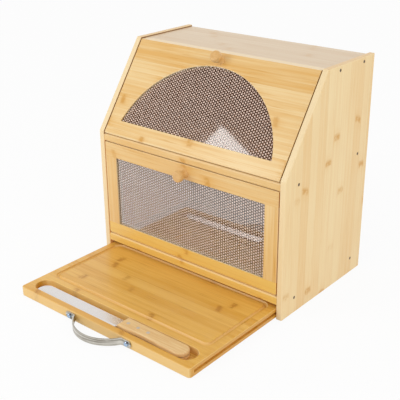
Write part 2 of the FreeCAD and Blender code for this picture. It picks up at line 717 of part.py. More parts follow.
def front_rail(label, level, high):
    """The thick front rail of a shelf, grooved at the back for the shelf's tongue."""
    body = body_at(label)
    profile = sketch_on(body, "YZ")
    low = f"{level} + (shelf_thick - tongue_thick) / 2"
    block(profile, "rail_setback", level, "shelf_front", f"{level} + {high}")
    pad(body, profile, "2 * inner_half", middle=True)
    groove = sketch_on(body, "YZ")
    block(
        groove,
        "shelf_front - tongue_long - glue_fit",
        f"{low} - glue_fit",
        "shelf_front + glue_fit",
        f"{low} + tongue_thick + glue_fit",
    )
    pocket(body, groove, "2 * inner_half", middle=True)
    top_edge = {"y": "rail_setback", "z": f"{level} + {high}"}
    low_edge = {"y": "rail_setback", "z": level}
    round_edges(body, lambda edge: lies_at(edge, **top_edge), "rail_round")
    round_edges(body, lambda edge: lies_at(edge, **low_edge), "edge_round")
    return body


BACK_SCREWS = ("-back_screw_spread", "0", "back_screw_spread")
BACK_PLACES = [(x, f"{level} + shelf_thick / 2")
               for level in ("middle_level", "bottom_level") for x in BACK_SCREWS]


def back_panel():
    """A thin panel in the grooves of the side panels, under the top board."""
    body = body_at("back_panel")
    sketch = sketch_on(body, "XZ", z="-back_face")
    half = "inner_half + housing_deep - 2 * glue_fit"
    block(sketch, f"-({half})", "back_foot", half, "top_under - glue_fit")
    pad(body, sketch, "back_thick", back=True)
    for x, z in BACK_PLACES:
        cone = sketch_on(body, "XY", x=x, y="back_face + back_thick", z=z)
        sink = "(back_screw_head - back_screw_dia) / 2"
        outline(
            cone,
            (
                ("0", "0"), ("back_screw_head / 2 + run_fit", "0"),
                ("back_screw_dia / 2 + run_fit", f"-({sink})"),
                ("back_screw_dia / 2 + run_fit", "-back_thick"), ("0", "-back_thick"),
            ),
        )
        groove = body.newObject("PartDesign::Groove", "BackSink")
        groove.Profile = cone
        groove.ReferenceAxis = (cone, ["V_Axis"])
        groove.Angle = 360
        doc.recompute()
    return body


def runner(label, side):
    """A hardwood strip on a side panel that the board's edge groove rides on."""
    body = body_at(label)
    profile = sketch_on(body, "XZ", z="-edge_groove_stop - runner_fit")
    block(
        profile,
        f"{side} * inner_half", "runner_level",
        f"{side} * (inner_half - runner_deep)", "runner_level + runner_high",
    )
    pad(body, profile, "back_face - edge_groove_stop - runner_fit - stop_gap", back=True)
    return body


def pins(label, y, z):
    """Two steel pivot pins, pressed into the side panels."""
    body = body_at(label, y=y, z=z)
    for side, back in (("1", False), ("-1", True)):
        sketch = sketch_on(body, "YZ", z=f"{side} * (inner_half - swing_gap - pin_reach)")
        circle(sketch, "0", "0", "pin_dia / 2")
        pad(body, sketch, "pin_seat + swing_gap + pin_reach", back=back)
    return body


def door_stop_blocks():
    """Blocks under the middle shelf that the closed door bears on."""
    body = body_at("door_stop_blocks")
    sketch = sketch_on(body, "XZ", z="-block_face")
    for side in ("1", "-1"):
        middle = f"{side} * magnet_spread"
        block(
            sketch,
            f"{middle} - block_wide / 2", "block_foot",
            f"{middle} + block_wide / 2", "middle_level",
        )
    pad(body, sketch, "block_deep", back=True)
    seats = [(f"{side} * magnet_spread", "block_foot + block_high / 2") for side in ("1", "-1")]
    holes_y(body, seats, "magnet_dia / 2 + run_fit", "block_face", "magnet_thick + glue_fit")
    return body


# ---- Lid and door ----

def leaf_bores(body, depth, height):
    """Bores for the pivot pins in both ends."""
    for side, back in (("1", False), ("-1", True)):
        sketch = sketch_on(body, "YZ", z=f"{side} * leaf_half")
        circle(sketch, depth, height, "pin_dia / 2 + run_fit")
        pocket(body, sketch, "pin_reach + end_room", back=back)


def arch_tacks():
    """Screw places round the arched window."""
    places = [("0", "arch_sill - tack_lap")]
    reach = "(arch_radius + tack_lap)"
    for side in (-1, 1):
        places.append((f"{side} * (arch_half - tack_inset)", "arch_sill - tack_lap"))
        for angle in ("arch_tack_low", "arch_tack_high"):
            places.append((f"{side} * {reach} * cos({angle})", f"arch_centre + {reach} * sin({angle})"))
    return places


def window_tacks():
    """Screw places round the door's window."""
    places = []
    for x in ("-(window_half - tack_inset)", "0", "window_half - tack_inset"):
        for height in ("window_foot - tack_lap", "window_head + tack_lap"):
            places.append((x, height))
    for side in (-1, 1):
        places.append((f"{side} * (window_half + tack_lap)", "(window_foot + window_head) / 2"))
    return places


LID_TACKS = arch_tacks()
DOOR_TACKS = window_tacks()
TACK_TIP = "stock_thick + retainer_thick - tack_long"


def leaf_end(edge):
    """True for an edge that lies in either end of the lid or the door."""
    return lies_at(edge, x="leaf_half") or lies_at(edge, x="-leaf_half")


def tack_bores(body, places):
    """Blind bores in the back of a leaf for the screws of its retainer."""
    holes_y(body, places, "tack_dia / 2 + run_fit", f"{TACK_TIP} - end_room", "tack_long")


def knob_bore(body, height):
    holes_y(body, [("0", height)], "knob_screw_dia / 2 + run_fit", "-cut_past",
            "stock_thick + 2 * cut_past")


def strike_seats(body, height):
    places = [(f"{side} * magnet_spread", height) for side in ("1", "-1")]
    holes_y(body, places, "strike_dia / 2 + run_fit", "stock_thick - strike_thick - glue_fit",
            "stock_thick")


def lid_panel():
    """One board with an arched window. Below the knee its front is cut plumb and its foot level."""
    body = leaf_body("lid_panel", "lid")
    profile = sketch_on(body, "YZ")
    toe = {"y": "lid_facet * slope_sin", "z": "-lid_facet * slope_cos"}
    outline(
        profile,
        (
            ("0", "0"), (toe["y"], toe["z"]), ("stock_thick", "lid_foot_rear"),
            ("stock_thick", "lid_head_rear"), ("0", "lid_head_front"),
        ),
    )
    pad(body, profile, "2 * leaf_half", middle=True)
    crest = {"y": "0", "z": "lid_head_front"}
    round_edges(body, lambda edge: lies_at(edge, **crest), "lid_crown")
    round_edges(body, lambda edge: lies_at(edge, **toe), "lid_toe")

    def front_of_end(edge):
        return leaf_end(edge) and edge.BoundBox.YMax < number("lid_crown")

    round_edges(body, front_of_end, "leaf_round")

    opening = sketch_on(body, "XZ")
    arch(opening, "0")
    pocket(body, opening, "stock_thick + cut_past")

    def window_rim(edge):
        return lies_at(edge, y="0") and edge.BoundBox.XMax < number("arch_half + rebate_lap")

    round_edges(body, window_rim, "window_round")
    rebate = sketch_on(body, "XZ", z="-window_lip")
    arch(rebate, "rebate_lap")
    pocket(body, rebate, "stock_thick")
    leaf_bores(body, "lid_pin_inset", "lid_pin")
    tack_bores(body, LID_TACKS)
    knob_bore(body, "lid_knob_height")
    strike_seats(body, "lid_magnet_height")
    return body


def front_end(edge):
    """True for a front edge in either end of a piece of the door."""
    return leaf_end(edge) and lies_at(edge, y="0")


def rail(label, foot, head, mortise_foot):
    """A door rail: mortises for the stiles, and a rebate along the window."""
    body = leaf_body(label, "door")
    face = sketch_on(body, "XZ")
    block(face, "-leaf_half", foot, "leaf_half", head)
    pad(body, face, "stock_thick", back=True)
    round_edges(body, front_end, "leaf_round")
    rebate = sketch_on(body, "XZ", z="-window_lip")
    window(rebate, "rebate_lap")
    pocket(body, rebate, "stock_thick")
    mortises = sketch_on(body, "XZ", z="-(stock_thick - tenon_thick) / 2 + glue_fit")
    for side in ("1", "-1"):
        middle = f"{side} * (window_half + stile_width / 2)"
        block(
            mortises,
            f"{middle} - tenon_width / 2 - glue_fit", mortise_foot,
            f"{middle} + tenon_width / 2 + glue_fit", f"{mortise_foot} + tenon_long + glue_fit",
        )
    pocket(body, mortises, "tenon_thick + 2 * glue_fit")
    return body


def door_top_rail():
    """The upper front edge is rounded a little."""
    body = rail("door_top_rail", "window_head", "door_high", "window_head")
    crest = {"y": "0", "z": "door_high"}
    round_edges(body, lambda edge: lies_at(edge, **crest), "leaf_round")
    knob_bore(body, "door_knob_height")
    strike_seats(body, "door_magnet_height")
    tack_bores(body, [place for place in DOOR_TACKS if place[1].startswith("window_head")])
    return body


def door_foot_rail():
    """The lower front edge is rounded about the pivot pins."""
    body = rail("door_foot_rail", "0", "window_foot", "window_foot - tenon_long - glue_fit")
    foot_edge = {"y": "0", "z": "0"}
    round_edges(body, lambda edge: lies_at(edge, **foot_edge), "door_pin_inset - round_stop")
    leaf_bores(body, "door_pin_inset", "door_pin_inset")
    tack_bores(body, [place for place in DOOR_TACKS if place[1].startswith("window_foot")])
    return body


def door_stile(label, side):
    """A door stile with stub tenons and a rebate along the window."""
    body = leaf_body(label, "door")
    face = sketch_on(body, "XZ")
    block(face, f"{side} * window_half", "window_foot", f"{side} * leaf_half", "window_head")
    pad(body, face, "stock_thick", back=True)
    round_edges(body, front_end, "leaf_round")
    tenon = sketch_on(body, "XZ", z="-(stock_thick - tenon_thick) / 2")
    middle = f"{side} * (window_half + stile_width / 2)"
    block(
        tenon,
        f"{middle} - tenon_width / 2", "window_foot - tenon_long",
        f"{middle} + tenon_width / 2", "window_head + tenon_long",
    )
    pad(body, tenon, "tenon_thick", back=True)
    rebate = sketch_on(body, "XZ", z="-window_lip")
    window(rebate, "rebate_lap")
    pocket(body, rebate, "stock_thick")
    tack_bores(body, [place for place in DOOR_TACKS if place[0].startswith(f"{side} * (window")])
    return body


def sheet_in_rebate(label, leaf, shape, y, thick):
    body = leaf_body(label, leaf)
    sketch = sketch_on(body, "XZ", z=f"-({y})")
    shape(sketch, "(rebate_lap - pane_fit)")
    pad(body, sketch, thick, back=True)
    return body


def tack_holes(body, places):
    """Countersunk holes in a retainer."""
    sink = "(tack_head - tack_dia) / 2"
    for x, z in places:
        cone = sketch_on(body, "XY", x=x, y="stock_thick + retainer_thick", z=z)
        outline(
            cone,
            (
                ("0", "0"), ("tack_head / 2 + run_fit", "0"),
                ("tack_dia / 2 + run_fit", f"-({sink})"),
                ("tack_dia / 2 + run_fit", "-retainer_thick"), ("0", "-retainer_thick"),
            ),
        )
        groove = body.newObject("PartDesign::Groove", "TackSink")
        groove.Profile = cone
        groove.ReferenceAxis = (cone, ["V_Axis"])
        groove.Angle = 360
        doc.recompute()


def lid_retainer():
    """A flat arched frame behind the lid's pane."""
    body = leaf_body("lid_retainer", "lid")
    sketch = sketch_on(body, "XZ", z="-stock_thick")
    arch(sketch, "retainer_lap")
    arch(sketch, "retainer_ease")
    pad(body, sketch, "retainer_thick", back=True)
    tongue = sketch_on(body, "XZ", z="-stock_thick")
    arch(tongue, "(rebate_lap - pane_fit)")
    arch(tongue, "retainer_ease")
    pad(body, tongue, "retainer_tongue")
    tack_holes(body, LID_TACKS)
    return body


def battens(sketch, outer, inner):
    """Four mitred pieces round the door's window, between two distances from it."""
    left_out, left_in = f"-(window_half + {outer})", f"-(window_half + {inner})"
    right_out, right_in = f"window_half + {outer}", f"window_half + {inner}"
    low_out, low_in = f"window_foot - {outer}", f"window_foot - {inner}"
    top_out, top_in = f"window_head + {outer}", f"window_head + {inner}"
    outline(sketch, (
        (f"{left_out} + glue_fit", low_out), (f"{right_out} - glue_fit", low_out),
        (f"{right_in} - glue_fit", low_in), (f"{left_in} + glue_fit", low_in),
    ))
    outline(sketch, (
        (f"{left_out} + glue_fit", top_out), (f"{left_in} + glue_fit", top_in),
        (f"{right_in} - glue_fit", top_in), (f"{right_out} - glue_fit", top_out),
    ))
    outline(sketch, (
        (left_out, f"{low_out} + glue_fit"), (left_in, f"{low_in} + glue_fit"),
        (left_in, f"{top_in} - glue_fit"), (left_out, f"{top_out} - glue_fit"),
    ))
    outline(sketch, (
        (right_out, f"{low_out} + glue_fit"), (right_out, f"{top_out} - glue_fit"),
        (right_in, f"{top_in} - glue_fit"), (right_in, f"{low_in} + glue_fit"),
    ))


def door_retainer():
    """Four battens behind the door's pane, mitred at the corners, each with a tongue."""
    body = leaf_body("door_retainer", "door")
    sketch = sketch_on(body, "XZ", z="-stock_thick")
    battens(sketch, "retainer_lap", "retainer_ease")
    pad(body, sketch, "retainer_thick", back=True)
    tongue = sketch_on(body, "XZ", z="-stock_thick")
    battens(tongue, "(rebate_lap - pane_fit)", "retainer_ease")
    pad(body, tongue, "retainer_tongue")
    tack_holes(body, DOOR_TACKS)
    return body


def tacks(label, leaf, places):
    """The small countersunk screws of a retainer."""
    body = leaf_body(label, leaf)
    screws_along_y(body, places, "stock_thick + retainer_thick", "-1", "tack_head",
                   "(tack_head - tack_dia) / 2", "tack_dia", "tack_long")
    return body


def knob(label, leaf, height):
    """A turned knob: narrow foot, hollow neck and a rounded head, bored for its screw."""
    body = leaf_body(label, leaf)
    sketch = sketch_on(body, "XY", z=height)
    bore = "knob_screw_dia / 2 + run_fit"
    depth = "-(knob_screw_bite + end_room)"
    rim = "(knob_dia / 2 - knob_swell)"
    front = "(knob_long - knob_edge)"
    contour(
        sketch,
        (bore, "0"),
        (
            ("knob_foot / 2", "0"),
            ("knob_foot / 2", "-knob_foot_high"),
            ("knob_neck / 2", "-knob_neck_rise", rim, "-knob_head_rise"),
            ("knob_dia / 2", f"-(knob_head_rise + {front}) / 2", rim, f"-{front}"),
            (
                f"{rim} - knob_edge * (1 - cos(45))", f"-{front} - knob_edge * sin(45)",
                f"{rim} - knob_edge", "-knob_long",
            ),
            ("0", "-knob_long"),
            ("0", depth),
            (bore, depth),
            (bore, "0"),
        ),
    )
    turn(body, sketch, "V_Axis")
    return body


def knob_screw(label, leaf, height):
    body = leaf_body(label, leaf)
    length = "stock_thick + knob_screw_bite"
    screws_along_y(body, [("0", height)], "stock_thick", "-1", "knob_screw_head",
                   "knob_screw_cap", "knob_screw_dia", length, flat=False)
    return body


def strikes(label, leaf, height):
    """Steel plates let into the back of a leaf, facing the magnets."""
    body = leaf_body(label, leaf)
    places = [(f"{side} * magnet_spread", height) for side in ("1", "-1")]
    return discs(body, places, "strike_dia / 2", "stock_thick - strike_thick", "strike_thick")


# ---- Cutting board, its handle and its knife ----

def cutting_board():
    """Juice groove, knife recess, and a groove in each side edge for the runners."""
    body = body_at("cutting_board", y="-board_out", z="board_lift")
    face = sketch_on(body, "XY")
    block(face, "-board_half", "0", "board_half", "board_long")
    pad(body, face, "board_thick")

    def front_corner(edge):
        box = edge.BoundBox
        return near(box.YMax, "0") and near(box.ZLength, "board_thick")

    round_edges(body, front_corner, "board_corner")

    def rim(edge):
        box = edge.BoundBox
        return lies_at(edge, z="0") or lies_at(edge, z="board_thick") and box.ZLength < 0.01

    round_edges(body, rim, "board_round")

    # A round section swept along a rounded rectangle.
    path = sketch_on(body, "XY", z="board_thick + juice_sink")
    side, front = "(board_half - juice_side)", "juice_front"
    rear, corner = "(board_long - juice_rear)", "juice_corner"
    bend = f"{corner} * (1 - cos(45))"
    contour(
        path,
        ("0", front),
        (
            (f"{side} - {corner}", front),
            (f"{side} - {bend}", f"{front} + {bend}", side, f"{front} + {corner}"),
            (side, f"{rear} - {corner}"),
            (f"{side} - {bend}", f"{rear} - {bend}", f"{side} - {corner}", rear),
            (f"-{side} + {corner}", rear),
            (f"-{side} + {bend}", f"{rear} - {bend}", f"-{side}", f"{rear} - {corner}"),
            (f"-{side}", f"{front} + {corner}"),
            (f"-{side} + {bend}", f"{front} + {bend}", f"-{side} + {corner}", front),
            ("0", front),
        ),
    )
    section = sketch_on(body, "YZ")
    circle(section, front, "board_thick + juice_sink", "juice_radius")
    before = body.Shape.Volume
    groove = body.newObject("PartDesign::SubtractivePipe", "JuiceGroove")
    groove.Profile = section
    groove.Spine = (path, [])
    doc.recompute()
    if not body.Shape.Volume < before:
        raise RuntimeError("the juice groove cuts nothing")

    # The knife lies in a recess with round ends.
    recess = sketch_on(body, "XY", z="board_thick - slot_deep")
    run = "(slot_half - slot_wide / 2)"
    low, high = "slot_front - slot_wide / 2", "slot_front + slot_wide / 2"
    contour(
        recess,
        (f"-{run}", low),
        (
            (run, low),
            ("slot_half", "slot_front", run, high),
            (f"-{run}", high),
            ("-slot_half", "slot_front", f"-{run}", low),
        ),
    )
    pocket(body, recess, "slot_deep + cut_past", back=True)

    def slot_rim(edge):
        box = edge.BoundBox
        return (lies_at(edge, z="board_thick") and box.YMax < number(f"{high} + slot_round")
                and box.YMin > number(f"{low} - slot_round"))

    round_edges(body, slot_rim, "slot_round")

    # Stopped grooves in the side edges, open at the rear.
    grooves = sketch_on(body, "XZ", z="-edge_groove_stop")
    for side in ("1", "-1"):
        block(
            grooves,
            f"{side} * (board_half - edge_groove_deep)",
            "runner_level - board_lift - runner_fit",
            f"{side} * (board_half + cut_past)",
            "runner_level - board_lift + runner_high + runner_fit",
        )
    pocket(body, grooves, "board_long")
    pilots = [(f"{side} * lug_spacing / 2", "handle_level - board_lift") for side in ("1", "-1")]
    holes_y(body, pilots, "handle_screw_dia / 2 + run_fit", "0",
            "handle_screw_long - strap_thick + end_room")
    return body


def handle_bow():
    """A steel strap bent into a bow between two round-ended lugs."""
    body = body_at("handle_bow", y="-board_out", z="handle_level")
    path = sketch_on(body, "XY")
    line = "-strap_thick / 2"
    end = "(lug_spacing / 2 + lug_end)"
    hub_y = "(bow_radius - bow_rise - strap_thick / 2)"
    # The small bend and the bow touch on the line between their centres.
    share = "bow_bend / (bow_radius + bow_bend)"
    touch_x = f"(bow_foot - bow_foot * {share})"
    bend_hub_y = f"({line} - bow_bend)"
    touch_y = f"({bend_hub_y} + ({hub_y} - {bend_hub_y}) * {share})"
    middle_x = "(bow_foot - bow_bend * sin(30))"
    middle_y = f"({bend_hub_y} + bow_bend * cos(30))"
    contour(
        path,
        (f"-{end}", line),
        (
            ("-bow_foot", line),
            (f"-{middle_x}", middle_y, f"-{touch_x}", touch_y),
            ("0", f"{line} - bow_rise", touch_x, touch_y),
            (middle_x, middle_y, "bow_foot", line),
            (end, line),
        ),
    )
    section = sketch_on(body, "YZ", z=f"-{end}")
    block(section, "-strap_thick", "-strap_high / 2", "0", "strap_high / 2")
    strap = body.newObject("PartDesign::AdditivePipe", "Strap")
    strap.Profile = section
    strap.Spine = (path, [])
    doc.recompute()

    def lug_corner(edge):
        box = edge.BoundBox
        return (box.XLength < 0.01 and box.ZLength < 0.01 and near(box.YLength, "strap_thick")
                and near(abs(box.XMin), "lug_spacing / 2 + lug_end"))

    round_edges(body, lug_corner, "strap_high / 2 - round_stop")
    places = [(f"{side} * lug_spacing / 2", "0") for side in ("1", "-1")]
    holes_y(body, places, "handle_screw_dia / 2 + run_fit", "-strap_thick - cut_past",
            "strap_thick + 2 * cut_past")
    return body


def handle_screws():
    body = body_at("handle_screws", y="-board_out", z="handle_level")
    places = [(f"{side} * lug_spacing / 2", "0") for side in ("1", "-1")]
    return screws_along_y(body, places, "-strap_thick", "1", "handle_screw_head",
                          "handle_screw_cap", "handle_screw_dia", "handle_screw_long", flat=False)


RIVETS = [(f"blade_heel + rivet_first + {i} * rivet_pitch", "scale_middle") for i in range(3)]


def knife_blade():
    """A bread knife's blade with a full tang between the scales."""
    body = body_at("knife_blade", z="blade_foot")
    face = sketch_on(body, "XY")
    back = "(slot_rear - blade_back)"
    edge = f"({back} - blade_wide)"
    bend = "blade_nose * (1 - cos(45))"
    tang_back = "slot_rear - scale_front_gap - tang_inset"
    tang_end = "scale_end - tang_short"
    tang_edge = "slot_rear - scale_front_gap - scale_wide + tang_inset + scale_waist"
    contour(
        face,
        ("blade_tip", edge),
        (
            ("blade_heel - blade_neck", edge),
            ("blade_heel", tang_edge),
            (tang_end, tang_edge),
            (tang_end, tang_back),
            ("blade_heel", tang_back),
            ("blade_heel - blade_neck", back),
            ("blade_tip + blade_nose", back),
            (f"blade_tip + {bend}", f"{back} - {bend}", "blade_tip", f"{back} - blade_nose"),
            ("blade_tip", edge),
        ),
    )
    pad(body, face, "blade_thick")
    holes = sketch_on(body, "XY")
    for x, y in RIVETS:
        circle(holes, x, y, "rivet_dia / 2 + run_fit")
    pocket(body, holes, "blade_thick", back=True)

    # The upper face is ground down to the cutting edge.
    grind = sketch_on(body, "YZ", z="blade_tip - cut_past")
    outline(
        grind,
        (
            (f"{edge} + grind_wide", "blade_thick"),
            (f"{edge} - cut_past", "blade_thick"),
            (f"{edge} - cut_past", "blade_thick - grind_deep * (1 + cut_past / grind_wide)"),
        ),
    )
    pocket(body, grind, "blade_heel - blade_neck - blade_tip + cut_past", back=True)

    # Scallops along the cutting edge.
    bite = sketch_on(body, "XY")
    circle(bite, "blade_tip + serration_pitch", f"{edge} - serration_radius + serration_bite",
           "serration_radius")
    first = pocket(body, bite, "blade_thick", back=True)
    row = body.newObject("PartDesign::LinearPattern", "Serration")
    row.Originals = [first]
    row.Direction = (bite, ["H_Axis"])
    count = int(number("(blade_heel - serration_stop - blade_tip) / serration_pitch"))
    row.Mode = "Spacing"
    bind(row, "Offset", "serration_pitch")
    row.Occurrences = count
    body.Tip = row
    doc.recompute()
    return body


def knife_scale(label, level):
    """One wooden half of the handle: straight back, hollowed grip, round end."""
    body = body_at(label, z=level)
    face = sketch_on(body, "XY")
    back = "(slot_rear - scale_front_gap)"
    edge = f"({back} - scale_wide)"
    end = "(scale_end - scale_wide / 2)"
    start = ("blade_heel", f"{edge} + scale_nip")
    contour(
        face,
        start,
        (
            ("blade_heel + scale_swell", edge),
            ("blade_heel + scale_waist_at", f"{edge} + scale_waist", "blade_heel + scale_grip", edge),
            (end, edge),
            ("scale_end", f"{edge} + scale_wide / 2", end, back),
            ("blade_heel", back),
            start,
        ),
    )
    pad(body, face, "scale_thick")
    outer = "scale_thick" if level != "slot_floor" else "0"

    def outer_rim(edge_):
        return lies_at(edge_, z=outer)

    round_edges(body, outer_rim, "scale_round")
    holes = sketch_on(body, "XY")
    for x, y in RIVETS:
        circle(holes, x, y, "rivet_dia / 2 + run_fit")
    pocket(body, holes, "scale_thick", back=True)
    return body


def knife_rivets():
    body = body_at("knife_rivets", z="slot_floor + rivet_sink")
    sketch = sketch_on(body, "XY")
    for x, y in RIVETS:
        circle(sketch, x, y, "rivet_dia / 2")
    pad(body, sketch, "2 * scale_thick + blade_thick - rivet_sink")
    return body


def build():
    for label, side in (("right_side", 1), ("left_side", -1)):
        side_panel(label, side)
    top_board()
    shelf("middle_shelf", "middle_level", SIDE_SCREWS[2:4])
    shelf("bottom_shelf", "bottom_level", SIDE_SCREWS[4:])
    front_rail("middle_rail", "middle_level", "middle_rail_high")
    front_rail("bottom_rail", "bottom_level", "bottom_rail_high")
    back_panel()
    screws_along_y(body_at("back_screws"), BACK_PLACES, "back_face + back_thick", "-1",
                   "back_screw_head", "(back_screw_head - back_screw_dia) / 2", "back_screw_dia",
                   "back_screw_long")
    screws_along_x("right_screws", SIDE_SCREWS, "cabinet_width / 2", "-1", "screw_head",
                   "screw_dia", "screw_long")
    screws_along_x("left_screws", SIDE_SCREWS, "-cabinet_width / 2", "1", "screw_head",
                   "screw_dia", "screw_long")
    runner("right_runner", 1)
    runner("left_runner", -1)
    pins("lid_pins", "lid_pin_y", "lid_pin_z")
    pins("door_pins", "door_pin_y", "door_pin_z")
    magnets = [(f"{side} * magnet_spread", "lid_magnet_height") for side in ("1", "-1")]
    discs(leaf_body("lid_magnets", "lid"), magnets, "magnet_dia / 2", "lid_stop", "magnet_thick")
    door_stop_blocks()
    catches = [(f"{side} * magnet_spread", "block_foot + block_high / 2") for side in ("1", "-1")]
    discs(body_at("door_magnets"), catches, "magnet_dia / 2", "block_face", "magnet_thick")

    lid_panel()
    door_top_rail()
    door_foot_rail()
    door_stile("door_right_stile", 1)
    door_stile("door_left_stile", -1)
    for leaf, shape in (("lid", arch), ("door", window)):
        sheet_in_rebate(f"{leaf}_pane", leaf, shape, "window_lip", "pane_thick")
        sheet_in_rebate(f"{leaf}_mesh", leaf, shape, "sheet_depth", "mesh_thick")
    lid_retainer()
    door_retainer()
    tacks("lid_retainer_screws", "lid", LID_TACKS)
    tacks("door_retainer_screws", "door", DOOR_TACKS)
    for leaf in ("lid", "door"):
        knob(f"{leaf}_knob", leaf, f"{leaf}_knob_height")
        knob_screw(f"{leaf}_knob_screw", leaf, f"{leaf}_knob_height")
        strikes(f"{leaf}_strikes", leaf, f"{leaf}_magnet_height")

    cutting_board()
    handle_bow()
    handle_screws()
    knife_blade()
    knife_scale("knife_lower_scale", "slot_floor")
    knife_scale("knife_upper_scale", "blade_foot + blade_thick")
    knife_rivets()


def write():
    """Check every object, then write each sub-part to its own file."""
    doc.recompute()
    broken = [thing.Name for thing in doc.Objects
              if "Invalid" in thing.State or "Error" in thing.State]
    if broken:
        raise RuntimeError(f"these objects failed: {broken}")
    os.makedirs("parts", exist_ok=True)
    for node in nodes:
        if node.Shape.isNull() or not node.Shape.isValid():
            raise RuntimeError(f"{node.Label} has no valid shape")
        node.Shape.exportStep(f"parts/{node.Label}.step")
    print(len(nodes), "sub-parts")


build()
write()
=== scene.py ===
"""Bread box with a sloping lid, a drop-down door and a pull-out cutting board.

The file is laid out as an add-on and is run as a script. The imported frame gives
every piece its place, in metres: X runs along the front, Y towards the back and
Z up. Operators give the boards their grain, fit clear dotted sheets behind the
panes, finish the wooden and metal fittings and set the stage.
"""

import math

import bmesh
import bpy
from bpy.props import FloatProperty, FloatVectorProperty, IntProperty, PointerProperty
from mathutils import Matrix, Vector


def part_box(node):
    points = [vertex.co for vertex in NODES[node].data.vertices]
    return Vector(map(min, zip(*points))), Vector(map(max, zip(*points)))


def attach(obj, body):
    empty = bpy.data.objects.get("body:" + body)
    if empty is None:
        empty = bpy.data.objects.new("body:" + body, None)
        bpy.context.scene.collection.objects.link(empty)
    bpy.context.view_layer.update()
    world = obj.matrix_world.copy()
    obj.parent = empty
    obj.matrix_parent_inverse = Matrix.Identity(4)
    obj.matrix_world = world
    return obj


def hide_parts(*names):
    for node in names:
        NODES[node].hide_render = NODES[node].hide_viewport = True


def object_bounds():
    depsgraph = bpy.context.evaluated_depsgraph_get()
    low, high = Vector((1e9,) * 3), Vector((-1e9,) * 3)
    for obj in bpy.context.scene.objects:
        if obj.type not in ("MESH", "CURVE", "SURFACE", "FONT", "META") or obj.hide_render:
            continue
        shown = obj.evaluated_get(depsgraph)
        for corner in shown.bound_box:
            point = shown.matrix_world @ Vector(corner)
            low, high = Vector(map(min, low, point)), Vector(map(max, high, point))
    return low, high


bl_info = {
    "name": "Bread box with cutting board",
    "version": (1, 0, 0),
    "blender": (4, 5, 0),
    "location": "View3D > Sidebar > Bread box",
    "description": "Dresses the bread box frame with bamboo, dotted sheets, panes and metal",
    "category": "Object",
}

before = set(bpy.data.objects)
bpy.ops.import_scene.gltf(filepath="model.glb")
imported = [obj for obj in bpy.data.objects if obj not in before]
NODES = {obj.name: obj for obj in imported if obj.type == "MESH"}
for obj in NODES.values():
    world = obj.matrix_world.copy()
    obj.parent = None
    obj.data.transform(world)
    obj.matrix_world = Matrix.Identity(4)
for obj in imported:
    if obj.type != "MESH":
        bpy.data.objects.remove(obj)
CAD_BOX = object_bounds()

MM = 0.001
TURN_QUARTER = math.radians(90)
WHITE = (1.0, 1.0, 1.0)

# Turns that bring a board's own grain onto X, its width onto Y and its thickness onto Z.
GRAIN_LYING = (0.0, 0.0, 0.0)
GRAIN_UPRIGHT = (-TURN_QUARTER, 0.0, 0.0)
GRAIN_UP_SIDE = (0.0, TURN_QUARTER, 0.0)
GRAIN_UP_FRONT = (TURN_QUARTER, 0.0, TURN_QUARTER)
GRAIN_ALONG_Y = (0.0, 0.0, -TURN_QUARTER)


# ---- sizes and colours ----


def colour(name, description, value):
    """A colour property in linear light."""
    return FloatVectorProperty(
        name=name,
        description=description,
        subtype="COLOR",
        size=3,
        min=0.0,
        max=1.0,
        default=value,
    )


def lightest(part, value):
    """The lightest tone of a part."""
    return colour(part + ", light", "Lightest tone of the " + part.lower(), value)


def darkest(part, value):
    """The darkest tone of a part."""
    return colour(part + ", dark", "Darkest tone of the " + part.lower(), value)


def distance(name, description, metres, precision=3):
    """A length property."""
    return FloatProperty(
        name=name,
        description=description,
        subtype="DISTANCE",
        unit="LENGTH",
        min=0.0,
        precision=precision,
        default=metres,
    )


def small_length(name, description, millimetres):
    """A length property with its default in millimetres."""
    return distance(name, description, millimetres * MM, precision=5)


def angle(name, description, degrees):
    """An angle property with its default in degrees."""
    return FloatProperty(
        name=name,
        description=description,
        subtype="ANGLE",
        default=math.radians(degrees),
    )


def power(name, description, watts):
    """A lamp's power."""
    return FloatProperty(name=name, description=description, unit="POWER", min=0.0, default=watts)


